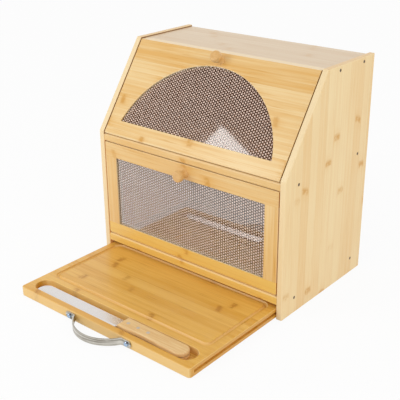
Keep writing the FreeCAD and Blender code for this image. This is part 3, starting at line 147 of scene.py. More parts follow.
class BambooSettings(bpy.types.PropertyGroup):
    """Glued bamboo strips."""

    strip_width: small_length("Strip width", "Width of one glued strip", 21.5)
    side_pale: lightest("Sides", (0.95, 0.73, 0.385))
    side_deep: darkest("Sides", (0.88, 0.59, 0.25))
    front_pale: lightest("Front boards", (0.92, 0.68, 0.335))
    front_deep: darkest("Front boards", (0.81, 0.47, 0.13))
    # The top board's paler, greyer tone is partly its own and partly painted sheen of the white room
    # on its lacquer.
    top_pale: lightest("Top board", (0.80, 0.63, 0.42))
    top_deep: darkest("Top board", (0.72, 0.51, 0.29))
    board_pale: lightest("Cutting board", (0.85, 0.50, 0.105))
    board_deep: darkest("Cutting board", (0.74, 0.37, 0.04))
    board_mark: colour("Board growth mark", "Growth marks of the cutting board", (0.50, 0.20, 0.012))
    # Edge highlight colours: painted highlights on the rounded edges, also taken by the paler sides
    # of the strips.
    board_edge_highlight: colour("Board edge", "Rounded edges of the cutting board", (0.95, 0.67, 0.28))
    low_pale: lightest("Low rails", (0.94, 0.64, 0.18))
    low_deep: darkest("Low rails", (0.89, 0.54, 0.10))
    # The bottom shelf gets a deeper tone than the other boards: painted shade of the closed inside.
    shelf_pale: lightest("Bottom shelf", (0.62, 0.36, 0.16))
    shelf_deep: darkest("Bottom shelf", (0.48, 0.26, 0.10))
    # The middle shelf is near brown-black: painted shade of the dark lid compartment, on the same
    # bamboo as the rest.
    loft_pale: lightest("Middle shelf", (0.32, 0.155, 0.055))
    loft_deep: darkest("Middle shelf", (0.24, 0.11, 0.033))
    mark: colour("Growth mark", "Growth marks across the strips", (0.68, 0.33, 0.04))
    # Painted highlight on the rounded edges; the sides of the strips take it too.
    edge_highlight: colour("Edge highlight", "Rounded edges of the boards", (0.96, 0.78, 0.48))
    # Painted shade of the closed inside: colours multiplied into the inner faces, deep above the
    # middle shelf and light below it.
    upper_painted_shade: colour("Upper painted shade", "Painted shade on the inner faces above the shelf", (0.34, 0.20, 0.10))
    lower_painted_shade: colour("Lower painted shade", "Painted shade on the inner faces below the shelf", (0.92, 0.66, 0.46))


class HardwoodSettings(bpy.types.PropertyGroup):
    """Turned and planed hardwood."""

    # The back panel's tones: its own darker wood, deepened further as painted shade of the dark
    # inside.
    back_pale: lightest("Back panel", (0.50, 0.30, 0.15))
    back_deep: darkest("Back panel", (0.40, 0.22, 0.10))
    inner_pale: lightest("Inner wood", (0.72, 0.55, 0.33))
    inner_deep: darkest("Inner wood", (0.58, 0.38, 0.19))
    knob_pale: lightest("Knobs", (0.82, 0.51, 0.20))
    knob_deep: darkest("Knobs", (0.70, 0.39, 0.12))
    knife_pale: lightest("Knife handle", (0.88, 0.62, 0.30))
    knife_deep: darkest("Knife handle", (0.76, 0.46, 0.18))


class MetalSettings(bpy.types.PropertyGroup):
    """Steel, zinc and nickel."""

    bronze_bright: lightest("Cabinet screws", (0.16, 0.10, 0.05))
    bronze_shade: darkest("Cabinet screws", (0.07, 0.04, 0.02))
    zinc_bright: lightest("Zinc screws", (0.48, 0.62, 0.80))
    zinc_shade: darkest("Zinc screws", (0.27, 0.38, 0.54))
    # The handle's dark tone is painted reflection: dark streaks along the brush marks stand in for
    # the dark studio mirrored in the strap.
    strap_bright: lightest("Board handle", (0.78, 0.75, 0.68))
    strap_shade: darkest("Board handle", (0.20, 0.175, 0.135))
    plain_bright: lightest("Pins and strikes", (0.62, 0.62, 0.63))
    plain_shade: darkest("Pins and strikes", (0.46, 0.46, 0.47))
    nickel_bright: lightest("Magnets", (0.78, 0.76, 0.72))
    nickel_shade: darkest("Magnets", (0.68, 0.66, 0.62))
    blade_bright: lightest("Knife blade", (0.76, 0.73, 0.71))
    blade_shade: darkest("Knife blade", (0.71, 0.68, 0.66))
    rivet_bright: lightest("Rivets", (0.80, 0.77, 0.72))
    rivet_shade: darkest("Rivets", (0.68, 0.65, 0.60))


class SheetSettings(bpy.types.PropertyGroup):
    """Clear dotted sheets behind the panes."""

    dot: small_length("Dot", "Diameter of a dot", 3.2)
    dot_high: small_length("Dot height", "Height of a dot above the sheet", 0.3)
    column_step: small_length("Column step", "Distance between columns of dots", 4.39)
    row_step: small_length("Row step", "Distance between dots in a column", 4.8)
    rim: small_length("Rim", "Least clear width between a dot and the sheet's edge", 0.25)
    clearance: small_length("Clearance", "Air between the sheet and its pane and frame", 0.08)
    dot_sides: IntProperty(
        name="Dot sides",
        description="Straight sides that make the outline of one dot",
        min=8,
        max=32,
        default=12,
    )
    dot_pale: lightest("Dots", (1.0, 0.81, 0.70))
    dot_deep: darkest("Dots", (0.94, 0.75, 0.64))


class StageSettings(bpy.types.PropertyGroup):
    """Floor, light and camera."""

    floor_width: distance("Floor width", "Side of the square floor", 30.0)
    floor_drop: small_length("Floor drop", "Floor below the foot of the sides", 0.1)
    floor: colour("Floor", "Colour of the floor", (0.86, 0.86, 0.86))
    room: FloatProperty(
        name="Room light",
        description="Strength of the even light from all round",
        subtype="FACTOR",
        min=0.0,
        max=1.0,
        default=0.78,
    )
    ceiling: colour("Ceiling", "Tint of the ceiling that the lid's pane mirrors", (1.0, 0.42, 0.18))
    key_width: distance("Key lamp width", "Side of the square lamp over the front", 0.66)
    key_power: power("Key lamp power", "Power of the lamp over the front", 4.4)
    side_width: distance("Side lamp width", "Side of the square lamp at the right", 1.6)
    side_power: power("Side lamp power", "Power of the lamp at the right", 12.0)
    lens: FloatProperty(
        name="Lens",
        description="Focal length on a sensor 36 mm wide",
        subtype="DISTANCE_CAMERA",
        min=10.0,
        default=71.19,
    )
    eye: FloatVectorProperty(
        name="Camera place",
        description="Where the camera stands",
        subtype="TRANSLATION",
        unit="LENGTH",
        size=3,
        default=(0.8019, -0.9078, 0.6798),
    )
    heading: angle("Heading", "Turn of the camera to the left of the depth direction", 40.27)
    dip: angle("Dip", "How far the camera looks down", 23.38)
    roll: angle("Roll", "Turn of the camera about its own line of sight", 0.58)


class BreadBoxSettings(bpy.types.PropertyGroup):
    """All sizes and colours of the bread box."""

    bamboo: PointerProperty(type=BambooSettings)
    hardwood: PointerProperty(type=HardwoodSettings)
    metal: PointerProperty(type=MetalSettings)
    sheet: PointerProperty(type=SheetSettings)
    stage: PointerProperty(type=StageSettings)


# ---- node helpers ----


def feed(tree, socket, value):
    """Links an output to the socket, or sets the socket to a plain value."""
    if isinstance(value, bpy.types.NodeSocket):
        tree.links.new(value, socket)
    elif socket.type == "RGBA" and len(value) == 3:
        socket.default_value = (*value, 1.0)
    else:
        socket.default_value = value


def add(tree, kind, inputs=None, **settings):
    """A new node with its settings and inputs."""
    made = tree.nodes.new("ShaderNode" + kind)
    for name, value in settings.items():
        setattr(made, name, value)
    for key, value in (inputs or {}).items():
        feed(tree, made.inputs[key], value)
    return made


def calc(tree, operation, *values, clamp=False):
    """The result of one Math node."""
    made = add(tree, "Math", operation=operation, use_clamp=clamp)
    for socket, value in zip(made.inputs, values):
        feed(tree, socket, value)
    return made.outputs[0]


def fade(tree, value, low, high, to_low=0.0, to_high=1.0):
    """The value carried smoothly from one range to another."""
    inputs = {"Value": value, "From Min": low, "From Max": high, "To Min": to_low, "To Max": to_high}
    return add(tree, "MapRange", inputs, interpolation_type="SMOOTHSTEP").outputs[0]


def blend_colours(tree, amount, first, second, blend_type="MIX"):
    """Two colours mixed by an amount."""
    made = add(tree, "Mix", data_type="RGBA", blend_type=blend_type)
    for name, value in (("Factor_Float", amount), ("A_Color", first), ("B_Color", second)):
        socket = next(s for s in made.inputs if s.identifier == name)
        feed(tree, socket, value)
    return next(s for s in made.outputs if s.identifier == "Result_Color")


def join_xyz(tree, x, y, z):
    """A vector from three values."""
    return add(tree, "CombineXYZ", {"X": x, "Y": y, "Z": z}).outputs[0]


def split_xyz(tree, vector):
    """The three parts of a vector."""
    return add(tree, "SeparateXYZ", {"Vector": vector}).outputs


def noise(tree, vector, scale, detail=2.0, roughness=0.5):
    """The value of a noise texture."""
    inputs = {"Vector": vector, "Scale": scale, "Detail": detail, "Roughness": roughness}
    return add(tree, "TexNoise", inputs).outputs["Fac"]


def new_group(name, places, colours, numbers):
    """An empty effect group with its inputs by kind, and its input and output nodes."""
    tree = bpy.data.node_groups.new(name, "ShaderNodeTree")
    for kind, inputs in (("Vector", places), ("Color", colours), ("Float", numbers)):
        for title, value in inputs.items():
            socket = tree.interface.new_socket(title, in_out="INPUT", socket_type="NodeSocket" + kind)
            socket.default_value = (*value, 1.0) if kind == "Color" else value
    for title, kind in (("Color", "Color"), ("Roughness", "Float"), ("Height", "Float")):
        tree.interface.new_socket(title, in_out="OUTPUT", socket_type="NodeSocket" + kind)
    return tree, tree.nodes.new("NodeGroupInput"), tree.nodes.new("NodeGroupOutput")


def put_out(tree, result, colour_value, roughness, height):
    """Feeds what an effect puts out."""
    for socket, value in zip(result.inputs, (colour_value, roughness, height)):
        feed(tree, socket, value)


def use_group(tree, group, inputs):
    """A node group placed in a material."""
    made = tree.nodes.new("ShaderNodeGroup")
    made.node_tree = group
    for name, value in inputs.items():
        feed(tree, made.inputs[name], value)
    return made


def seeing_rays(tree):
    """One for the rays of the camera, of mirrors and of glass, nothing for the rest."""
    path = add(tree, "LightPath")
    seen = calc(tree, "MAXIMUM", path.outputs["Is Camera Ray"], path.outputs["Is Glossy Ray"])
    return calc(tree, "MAXIMUM", seen, path.outputs["Is Transmission Ray"])


# ---- surface effects ----

# Grain noises: how far they are drawn out along the grain, then scale, detail and roughness.
BANDS = (0.022, 210.0, 3.0, 0.55)
STREAKS = (0.03, 560.0, 2.0, 0.5)
FIBRES = (0.012, 1500.0, 2.0, 0.6)
PORES = (0.02, 1500.0, 2.0, 0.6)
DRIFT_SCALE = 9.0
SMUDGE_SCALE = 150.0

# How much each of them moves the tone between pale and deep.
STRIP_TONE = 0.55
BANDS_TONE = 2.6
DRIFT_TONE = 0.7
FIBRES_TONE = 0.6
HALO_TONE = 0.25

# How far the grain of one strip is shifted against its neighbour's, in metres.
STRIP_SHIFT = 3.7

# Where the drift gathers the dark streaks, and which crests of their noise show.
STREAK_ZONES = (0.42, 0.66)
STREAK_CRESTS = (0.56, 0.74)

# Growth marks, in metres: spacing, bend and lean across a strip, ragged edge, dark core,
# fine line beside it and pale halo. A strip leans its marks by the least and a share of the span.
MARK_STEP = (0.19, 0.33)
MARK_BOW = 5.0 * MM
MARK_LEAN_LEAST = -1.0 * MM
MARK_LEAN_SPAN = 10.0 * MM
MARK_RAGGED = 9.0 * MM
MARK_CORE = (1.0 * MM, 8.5 * MM)
MARK_LINE_OFF = 1.2 * MM
MARK_LINE_WIDE = 2.2 * MM
MARK_HALO = (4.0 * MM, 22.0 * MM)
MARK_LINE_TONE = 0.2

# Glue line between two strips: its solid half and where it ends, in metres, and its tone.
GLUE_LINE = (0.08 * MM, 0.45 * MM)
GLUE_TONE = 0.30

# How flat a surface lies to count as a board's face, as a cut end, and as rounded.
FACE_LIES = (0.35, 0.75)
END_LIES = (0.6, 0.85)
ROUND_LIES = (0.995, 0.90)

# How much of the edge highlight colour the sides of the strips and the rounded edges take; on the
# rounded edges it is a painted highlight.
SIDE_TONE = 0.6
EDGE_HIGHLIGHT_TONE = 0.42

# Cut ends: dots of the fibre bundles.
BUNDLE_SCALE = 1100.0
BUNDLE_EDGE = (0.15, 0.42)
BUNDLE_TONE = 0.45
CUT_TONE = 0.12


def grain(tree, along, across, through, kind):
    """Noise drawn out along the grain, of one of the kinds above."""
    stretch, scale, detail, roughness = kind
    drawn = join_xyz(tree, calc(tree, "MULTIPLY", along, stretch), across, through)
    return noise(tree, drawn, scale, detail, roughness)


def sway(tree, value, amount, base):
    """A base moved by what a value lies above or below a half."""
    return calc(tree, "MULTIPLY_ADD", calc(tree, "SUBTRACT", value, 0.5), amount, base)


def growth_marks(tree, seed, number, within, edge, chances, run, smudge):
    """Smudged bars across a strip, each strip at its own spacing, and the halo round them."""
    first, second, third = chances
    spacing = fade(tree, first, 0.0, 1.0, *MARK_STEP)
    middle = calc(tree, "SUBTRACT", within, 0.5)
    bow = calc(tree, "MULTIPLY", calc(tree, "POWER", middle, 2.0), MARK_BOW)
    lean = calc(tree, "MULTIPLY_ADD", third, MARK_LEAN_SPAN, MARK_LEAN_LEAST)
    lean = calc(tree, "MULTIPLY", middle, lean)
    bent = calc(tree, "ADD", run, calc(tree, "ADD", bow, lean))
    bent = sway(tree, smudge, MARK_RAGGED, bent)
    turns = calc(tree, "ADD", calc(tree, "DIVIDE", bent, spacing), second)
    turn = calc(tree, "FLOOR", turns)
    part = calc(tree, "SUBTRACT", calc(tree, "SUBTRACT", turns, turn), 0.5)
    off = calc(tree, "MULTIPLY", part, spacing)
    away = calc(tree, "ABSOLUTE", off)
    chance = add(
        tree, "TexWhiteNoise", {"Vector": join_xyz(tree, number, turn, seed)}, noise_dimensions="3D"
    )
    strength = fade(tree, chance.outputs["Value"], 0.1, 0.6)

    inside = fade(tree, edge, 0.02, 0.22)
    core = calc(tree, "MULTIPLY", fade(tree, away, *MARK_CORE, 1.0, 0.0), inside)
    core = calc(tree, "MULTIPLY", core, fade(tree, smudge, 0.3, 0.6, 0.3, 1.0))
    from_line = calc(tree, "ABSOLUTE", calc(tree, "SUBTRACT", off, MARK_LINE_OFF))
    line = fade(tree, from_line, 0.0, MARK_LINE_WIDE, MARK_LINE_TONE, 0.0)
    dense = calc(tree, "ADD", core, calc(tree, "MULTIPLY", line, inside))
    mark = calc(tree, "MULTIPLY", dense, strength, clamp=True)
    halo = calc(tree, "MULTIPLY", fade(tree, away, *MARK_HALO, 1.0, 0.0), strength)
    return mark, halo


def cut_end(tree, across, through, deep, dark):
    """The colour of a cut end, where the fibre bundles show as dots."""
    inputs = {"Vector": join_xyz(tree, 0.0, across, through), "Scale": BUNDLE_SCALE}
    bundles = add(tree, "TexVoronoi", inputs).outputs["Distance"]
    dot = fade(tree, bundles, *BUNDLE_EDGE, 1.0, 0.0)
    return blend_colours(tree, calc(tree, "MULTIPLY_ADD", dot, BUNDLE_TONE, CUT_TONE), deep, dark)


def rounding(tree, facing):
    """One where a surface turns from face to face of the board, nothing on the faces."""
    leans = [calc(tree, "ABSOLUTE", part) for part in facing]
    most = calc(tree, "MAXIMUM", calc(tree, "MAXIMUM", leans[0], leans[1]), leans[2])
    return fade(tree, most, *ROUND_LIES)


def bamboo_group():
    """Bamboo strips: X runs along the grain, Y across the strips, Z through the board."""
    tree, given, result = new_group(
        "Bamboo strips",
        places={"Place": (0.0, 0.0, 0.0), "Facing": (0.0, 0.0, 1.0)},
        colours={
            "Pale": (0.9, 0.7, 0.4),
            "Deep": (0.8, 0.5, 0.2),
            "Growth Mark": (0.5, 0.25, 0.1),
            "Edge": (0.95, 0.8, 0.55),
        },
        numbers={
            "Strip Width": 0.0215,
            "Seed": 0.0,
            "Marks": 0.85,
            "Bands": 0.5,
            "Streaks": 0.3,
        },
    )
    seed = given.outputs["Seed"]
    pale = given.outputs["Pale"]
    deep = given.outputs["Deep"]
    dark = given.outputs["Growth Mark"]
    edge_colour = given.outputs["Edge"]
    along, across, through = split_xyz(tree, given.outputs["Place"])

    # Strips side by side, each with its own chance numbers.
    strips = calc(tree, "DIVIDE", across, given.outputs["Strip Width"])
    strips = calc(tree, "ADD", strips, seed)
    number = calc(tree, "FLOOR", strips)
    within = calc(tree, "SUBTRACT", strips, number)
    edge = calc(tree, "MINIMUM", within, calc(tree, "SUBTRACT", 1.0, within))
    chance = add(tree, "TexWhiteNoise", {"W": calc(tree, "ADD", number, seed)}, noise_dimensions="1D")
    chances = add(tree, "SeparateColor", {"Color": chance.outputs["Color"]}).outputs

    # The board's own faces show the strips; its long edges show the side of one strip.
    facing = split_xyz(tree, given.outputs["Facing"])
    flat = fade(tree, calc(tree, "ABSOLUTE", facing[2]), *FACE_LIES)

    # Fibres run along the strip, and never carry on into the next one.
    run = calc(tree, "MULTIPLY_ADD", number, STRIP_SHIFT, along)
    spot = join_xyz(tree, run, across, through)
    bands = grain(tree, run, across, through, BANDS)
    streaks = grain(tree, run, across, through, STREAKS)
    fibres = grain(tree, run, across, through, FIBRES)
    drift = noise(tree, spot, DRIFT_SCALE, detail=1.0)
    smudge = noise(tree, spot, SMUDGE_SCALE, detail=3.0, roughness=0.6)
    mark, halo = growth_marks(tree, seed, number, within, edge, chances, run, smudge)

    # Tone: strip by strip, then broad bands, slow drift, fibres and the halos of the marks.
    tone = sway(tree, chances[2], calc(tree, "MULTIPLY", flat, STRIP_TONE), 0.5)
    tone = sway(tree, bands, calc(tree, "MULTIPLY", given.outputs["Bands"], BANDS_TONE), tone)
    tone = sway(tree, drift, DRIFT_TONE, tone)
    tone = sway(tree, fibres, FIBRES_TONE, tone)
    tone = calc(tree, "MULTIPLY_ADD", halo, HALO_TONE, tone, clamp=True)
    wood = blend_colours(tree, tone, pale, deep)

    # Thin dark streaks gather in zones.
    zone = calc(tree, "MULTIPLY_ADD", fade(tree, drift, *STREAK_ZONES), 0.8, 0.2)
    thin = calc(tree, "MULTIPLY", fade(tree, streaks, *STREAK_CRESTS), zone)
    thin = calc(tree, "MULTIPLY", thin, given.outputs["Streaks"])
    wood = blend_colours(tree, thin, wood, dark)
    wood = blend_colours(tree, calc(tree, "MULTIPLY", mark, given.outputs["Marks"]), wood, dark)

    # A thin glue line between strips.
    reach = calc(tree, "MULTIPLY", edge, given.outputs["Strip Width"])
    line = calc(tree, "MULTIPLY", fade(tree, reach, *GLUE_LINE, GLUE_TONE, 0.0), flat)
    wood = blend_colours(tree, line, wood, dark)

    # The sides of the strips, along the board's long edges, are paler: partly their own tone, partly
    # a painted highlight in the edge highlight colour.
    side = calc(tree, "MULTIPLY_ADD", flat, -SIDE_TONE, SIDE_TONE)
    wood = blend_colours(tree, side, wood, edge_colour)

    cut = fade(tree, calc(tree, "ABSOLUTE", facing[0]), *END_LIES)
    wood = blend_colours(tree, cut, wood, cut_end(tree, across, through, deep, dark))

    # Rounded edges are painted paler as a painted highlight, less where the bands hold it back.
    edge_highlight = calc(tree, "MULTIPLY", rounding(tree, facing), fade(tree, bands, 0.3, 0.6, 0.45, 1.0))
    edge_highlight = calc(tree, "MULTIPLY", edge_highlight, EDGE_HIGHLIGHT_TONE)
    wood = blend_colours(tree, edge_highlight, wood, edge_colour)

    # Fibres and marks are rougher. Glue lines and marks lie lower than bands and fibres.
    rough = calc(tree, "MULTIPLY_ADD", fibres, 0.16, 0.34)
    rough = calc(tree, "MULTIPLY_ADD", mark, 0.08, rough)
    height = calc(tree, "MULTIPLY_ADD", bands, 0.5, calc(tree, "MULTIPLY", fibres, 0.5))
    height = calc(tree, "MULTIPLY_ADD", line, -2.0, height)
    height = calc(tree, "MULTIPLY_ADD", mark, -0.6, height)
    put_out(tree, result, wood, rough, height)


def metal_group():
    """Brushed metal: X runs along the brush marks."""
    tree, given, result = new_group(
        "Brushed metal",
        places={"Place": (0.0, 0.0, 0.0)},
        colours={"Bright": (0.7, 0.7, 0.7), "Shade": (0.5, 0.5, 0.5)},
        numbers={
            "Stretch": 0.02,
            "Cross Stretch": 1.0,
            "Mark Scale": 4200.0,
            "Cloud": 0.4,
            "Roughness": 0.3,
            "Spread": 0.15,
        },
    )
    along, across, through = split_xyz(tree, given.outputs["Place"])
    brushed = (given.outputs["Stretch"], given.outputs["Mark Scale"], 3.0, 0.65)
    across = calc(tree, "MULTIPLY", across, given.outputs["Cross Stretch"])
    marks = grain(tree, along, across, through, brushed)
    cloud = noise(tree, given.outputs["Place"], 120.0, detail=3.0)
    lift = calc(tree, "MULTIPLY", calc(tree, "SUBTRACT", cloud, marks), given.outputs["Cloud"])
    amount = calc(tree, "ADD", marks, lift)
    tone = fade(tree, amount, 0.3, 0.7)
    metal = blend_colours(tree, tone, given.outputs["Shade"], given.outputs["Bright"])
    rough = sway(tree, amount, given.outputs["Spread"], given.outputs["Roughness"])
    put_out(tree, result, metal, rough, marks)


def hardwood_group():
    """Close-grained hardwood: X runs along the grain."""
    tree, given, result = new_group(
        "Hardwood grain",
        places={"Place": (0.0, 0.0, 0.0)},
        colours={"Pale": (0.8, 0.6, 0.4), "Deep": (0.6, 0.4, 0.2)},
        numbers={"Ring Step": 0.004, "Roughness": 0.4},
    )
    along, across, through = split_xyz(tree, given.outputs["Place"])
    step = given.outputs["Ring Step"]
    ring_place = join_xyz(
        tree,
        calc(tree, "DIVIDE", calc(tree, "MULTIPLY", along, 0.05), step),
        calc(tree, "DIVIDE", across, step),
        calc(tree, "DIVIDE", through, step),
    )
    rings = noise(tree, ring_place, 1.0, detail=2.0, roughness=0.55)
    pores = grain(tree, along, across, through, PORES)
    tone = calc(tree, "MULTIPLY_ADD", rings, 0.6, calc(tree, "MULTIPLY", pores, 0.4))
    tone = fade(tree, tone, 0.32, 0.68)
    wood = blend_colours(tree, tone, given.outputs["Pale"], given.outputs["Deep"])
    rough = calc(tree, "MULTIPLY_ADD", pores, 0.14, given.outputs["Roughness"])
    put_out(tree, result, wood, rough, pores)


# ---- materials ----

# Relief of the finishes, in metres.
BAMBOO_DEPTH = 0.12 * MM
HARDWOOD_DEPTH = 0.03 * MM
METAL_DEPTH = 0.01 * MM

# Half the height over which the painted shade changes at the middle shelf.
PAINTED_SHADE_FADE = 4.0 * MM

# Roughness of the clear coats.
BAMBOO_COAT = 0.22
HARDWOOD_COAT = 0.25

PANE_TINT = (0.985, 0.99, 0.99)
PANE_SMEAR = 0.03


def new_material(name):
    """An empty node material with its tree and a Principled shader on the output."""
    material = bpy.data.materials.new(name)
    material.use_nodes = True
    tree = material.node_tree
    tree.nodes.clear()
    output = add(tree, "OutputMaterial")
    shader = add(tree, "BsdfPrincipled")
    tree.links.new(shader.outputs[0], output.inputs["Surface"])
    return material, tree, shader


def mix_shaders(tree, amount, first, second):
    """Puts a mix of two shaders on the output."""
    mixed = add(tree, "MixShader", {0: amount, 1: first.outputs[0], 2: second.outputs[0]})
    output = next(node for node in tree.nodes if node.type == "OUTPUT_MATERIAL")
    tree.links.new(mixed.outputs[0], output.inputs["Surface"])


def lacquer(shader, weight, roughness):
    """A clear coat over the finish."""
    shader.inputs["Coat Weight"].default_value = weight
    shader.inputs["Coat Roughness"].default_value = roughness


def turned(tree, source, turn):
    """A vector turned onto a board's own axes."""
    inputs = {"Vector": source, "Rotation": turn}
    return add(tree, "VectorRotate", inputs, rotation_type="EULER_XYZ").outputs[0]


def surface(tree, shader, group, inputs, depth):
    """Feeds the colour, roughness and relief of an effect to the shader."""
    effect = use_group(tree, bpy.data.node_groups[group], inputs)
    feed(tree, shader.inputs["Base Color"], effect.outputs["Color"])
    feed(tree, shader.inputs["Roughness"], effect.outputs["Roughness"])
    relief = {"Height": effect.outputs["Height"], "Strength": 1.0, "Distance": depth}
    feed(tree, shader.inputs["Normal"], add(tree, "Bump", relief).outputs[0])
    return effect.outputs["Color"]


def paint_inner_shade(tree, shader, wood, value, limit, height):
    """Paints shade into the wood where a value is below its limit.

    The painted shade is deep above the middle shelf and light below it.
    """
    settings = bpy.context.scene.bread_box.bamboo
    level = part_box("middle_shelf")[1][2]
    in_shade = calc(tree, "LESS_THAN", value, limit)
    upper = fade(tree, height, level - PAINTED_SHADE_FADE, level + PAINTED_SHADE_FADE)
    tint = blend_colours(tree, upper, settings.lower_painted_shade, settings.upper_painted_shade)
    inner = blend_colours(tree, 1.0, wood, tint, "MULTIPLY")
    feed(tree, shader.inputs["Base Color"], blend_colours(tree, in_shade, wood, inner))


def bamboo_material(name, turn, tone, seed, looks=(), coat=0.35, shaded_half=None):
    """Lacquered bamboo strips in one of the tones, with the grain turned as the board lies.

    looks are more inputs of the strips. shaded_half is half the width of the cabinet's
    inside: what lies within it gets painted shade.
    """
    settings = bpy.context.scene.bread_box.bamboo
    material, tree, shader = new_material(name)
    coordinates = add(tree, "TexCoord")
    inputs = {
        "Place": turned(tree, coordinates.outputs["Object"], turn),
        "Facing": turned(tree, coordinates.outputs["Normal"], turn),
        "Strip Width": settings.strip_width,
        "Seed": seed,
        "Pale": getattr(settings, tone + "_pale"),
        "Deep": getattr(settings, tone + "_deep"),
        "Growth Mark": settings.mark,
        "Edge": settings.edge_highlight,
    }
    inputs.update(looks)
    wood = surface(tree, shader, "Bamboo strips", inputs, BAMBOO_DEPTH)
    if shaded_half is not None:
        spot = split_xyz(tree, coordinates.outputs["Object"])
        paint_inner_shade(tree, shader, wood, calc(tree, "ABSOLUTE", spot[0]), shaded_half, spot[2])
    lacquer(shader, coat, BAMBOO_COAT)
    return material


def hardwood_material(name, turn, tone, roughness, ring_step=4.0 * MM, coat=0.1, shaded_to=None):
    """Plain hardwood in one of the tones. What lies before shaded_to in Y gets painted shade."""
    settings = bpy.context.scene.bread_box.hardwood
    material, tree, shader = new_material(name)
    coordinates = add(tree, "TexCoord")
    inputs = {
        "Place": turned(tree, coordinates.outputs["Object"], turn),
        "Pale": getattr(settings, tone + "_pale"),
        "Deep": getattr(settings, tone + "_deep"),
        "Ring Step": ring_step,
        "Roughness": roughness,
    }
    wood = surface(tree, shader, "Hardwood grain", inputs, HARDWOOD_DEPTH)
    if shaded_to is not None:
        spot = split_xyz(tree, coordinates.outputs["Object"])
        paint_inner_shade(tree, shader, wood, spot[1], shaded_to, spot[2])
    lacquer(shader, coat, HARDWOOD_COAT)
    return material


def metal_material(name, turn, tone, roughness, marks=(), depth=METAL_DEPTH, metallic=1.0):
    """Brushed or drawn metal in one of the tones. marks are more inputs of the brush marks."""
    settings = bpy.context.scene.bread_box.metal
    material, tree, shader = new_material(name)
    coordinates = add(tree, "TexCoord")
    inputs = {
        "Place": turned(tree, coordinates.outputs["Object"], turn),
        "Bright": getattr(settings, tone + "_bright"),
        "Shade": getattr(settings, tone + "_shade"),
        "Roughness": roughness,
    }
    inputs.update(marks)
    surface(tree, shader, "Brushed metal", inputs, depth)
    shader.inputs["Metallic"].default_value = metallic
    return material


def pane_material(name, index, haze):
    """Clear sheet of an index and a haze. It lets lamps light what lies behind it."""
    material, tree, shader = new_material(name)
    coordinates = add(tree, "TexCoord")
    smear = noise(tree, coordinates.outputs["Object"], 14.0, detail=3.0)
    feed(tree, shader.inputs["Roughness"], fade(tree, smear, 0.35, 0.8, haze, haze + PANE_SMEAR))
    shader.inputs["Base Color"].default_value = (*PANE_TINT, 1.0)
    shader.inputs["Transmission Weight"].default_value = 1.0
    shader.inputs["IOR"].default_value = index
    path = add(tree, "LightPath")
    mix_shaders(tree, path.outputs["Is Shadow Ray"], shader, add(tree, "BsdfTransparent"))
    return material


def dot_material(settings):
    """Satin white dots, a little uneven in tone."""
    material, tree, shader = new_material("Sheet dots")
    coordinates = add(tree, "TexCoord")
    tone = noise(tree, coordinates.outputs["Object"], 220.0, detail=2.0)
    amount = fade(tree, tone, 0.35, 0.65)
    shade = blend_colours(tree, amount, settings.dot_pale, settings.dot_deep)
    feed(tree, shader.inputs["Base Color"], shade)
    feed(tree, shader.inputs["Roughness"], fade(tree, tone, 0.3, 0.7, 0.5, 0.62))
    return material


def dress(material, *nodes):
    """Gives CAD nodes one material."""
    for node in nodes:
        mesh = NODES[node].data
        mesh.materials.clear()
        mesh.materials.append(material)


# ---- mesh helpers ----

# What counts as one corner, as one flat face by its way and level, and as a sharp edge.
WELD = 0.001 * MM
SAME_WAY = 0.999
SAME_LEVEL = 0.01 * MM
SHARP_FROM = math.radians(35)


def face_outline(node, normal):
    """The outline of a node's flat face that looks along the normal, as ordered points."""
    mesh = bmesh.new()
    mesh.from_mesh(NODES[node].data)
    bmesh.ops.remove_doubles(mesh, verts=mesh.verts, dist=WELD)
    faces = [f for f in mesh.faces if f.normal.dot(normal) > SAME_WAY]
    top = max(f.calc_center_median().dot(normal) for f in faces)
    faces = [f for f in faces if f.calc_center_median().dot(normal) > top - SAME_LEVEL]
    chosen = set(faces)
    rim = {}
    for face in faces:
        for loop in face.loops:
            if not any(f in chosen for f in loop.edge.link_faces if f is not face):
                rim[loop.vert] = loop.link_loop_next.vert
    start = next(iter(rim))
    points = [start.co.copy()]
    step = rim[start]
    while step is not start:
        points.append(step.co.copy())
        step = rim[step]
    mesh.free()
    return points


def edge_distance(point, outline):
    """Distance from a point to a closed outline, below nothing outside it. Both are flat."""
    nearest = math.inf
    inside = False
    for a, b in zip(outline, outline[1:] + outline[:1]):
        side = b - a
        t = max(0.0, min(1.0, (point - a).dot(side) / side.length_squared))
        nearest = min(nearest, (point - a - side * t).length)
        if (a.y > point.y) != (b.y > point.y):
            if point.x < a.x + (point.y - a.y) * side.x / side.y:
                inside = not inside
    return nearest if inside else -nearest


def finish_piece(name, points, faces, material, body, replaced):
    """A piece of the object from points and faces, on its body."""
    mesh = bpy.data.meshes.new(name)
    mesh.from_pydata(points, [], faces)
    mesh.validate()
    mesh.materials.append(material)
    mesh.shade_smooth()
    mesh.set_sharp_from_angle(angle=SHARP_FROM)
    piece = bpy.data.objects.new(name, mesh)
    bpy.context.scene.collection.objects.link(piece)
    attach(piece, body)
    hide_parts(*replaced)


def lid_tilt():
    """Lean of the lid from upright, from the pane's own front face."""
    mesh = NODES["lid_pane"].data
    largest = max(mesh.polygons, key=lambda face: face.area * (face.normal.y < 0))
    return math.atan2(largest.normal.z, -largest.normal.y)


def slab(rim, front, near, far):
    """Points and faces of a flat slab behind a rim, from one depth to another."""
    points = [point - front * near for point in rim]
    points += [point - front * far for point in rim]
    count = len(rim)
    faces = [tuple(range(count)), tuple(range(2 * count - 1, count - 1, -1))]
    for k in range(count):
        after = (k + 1) % count
        faces.append((k + count, after + count, after, k))
    return points, faces


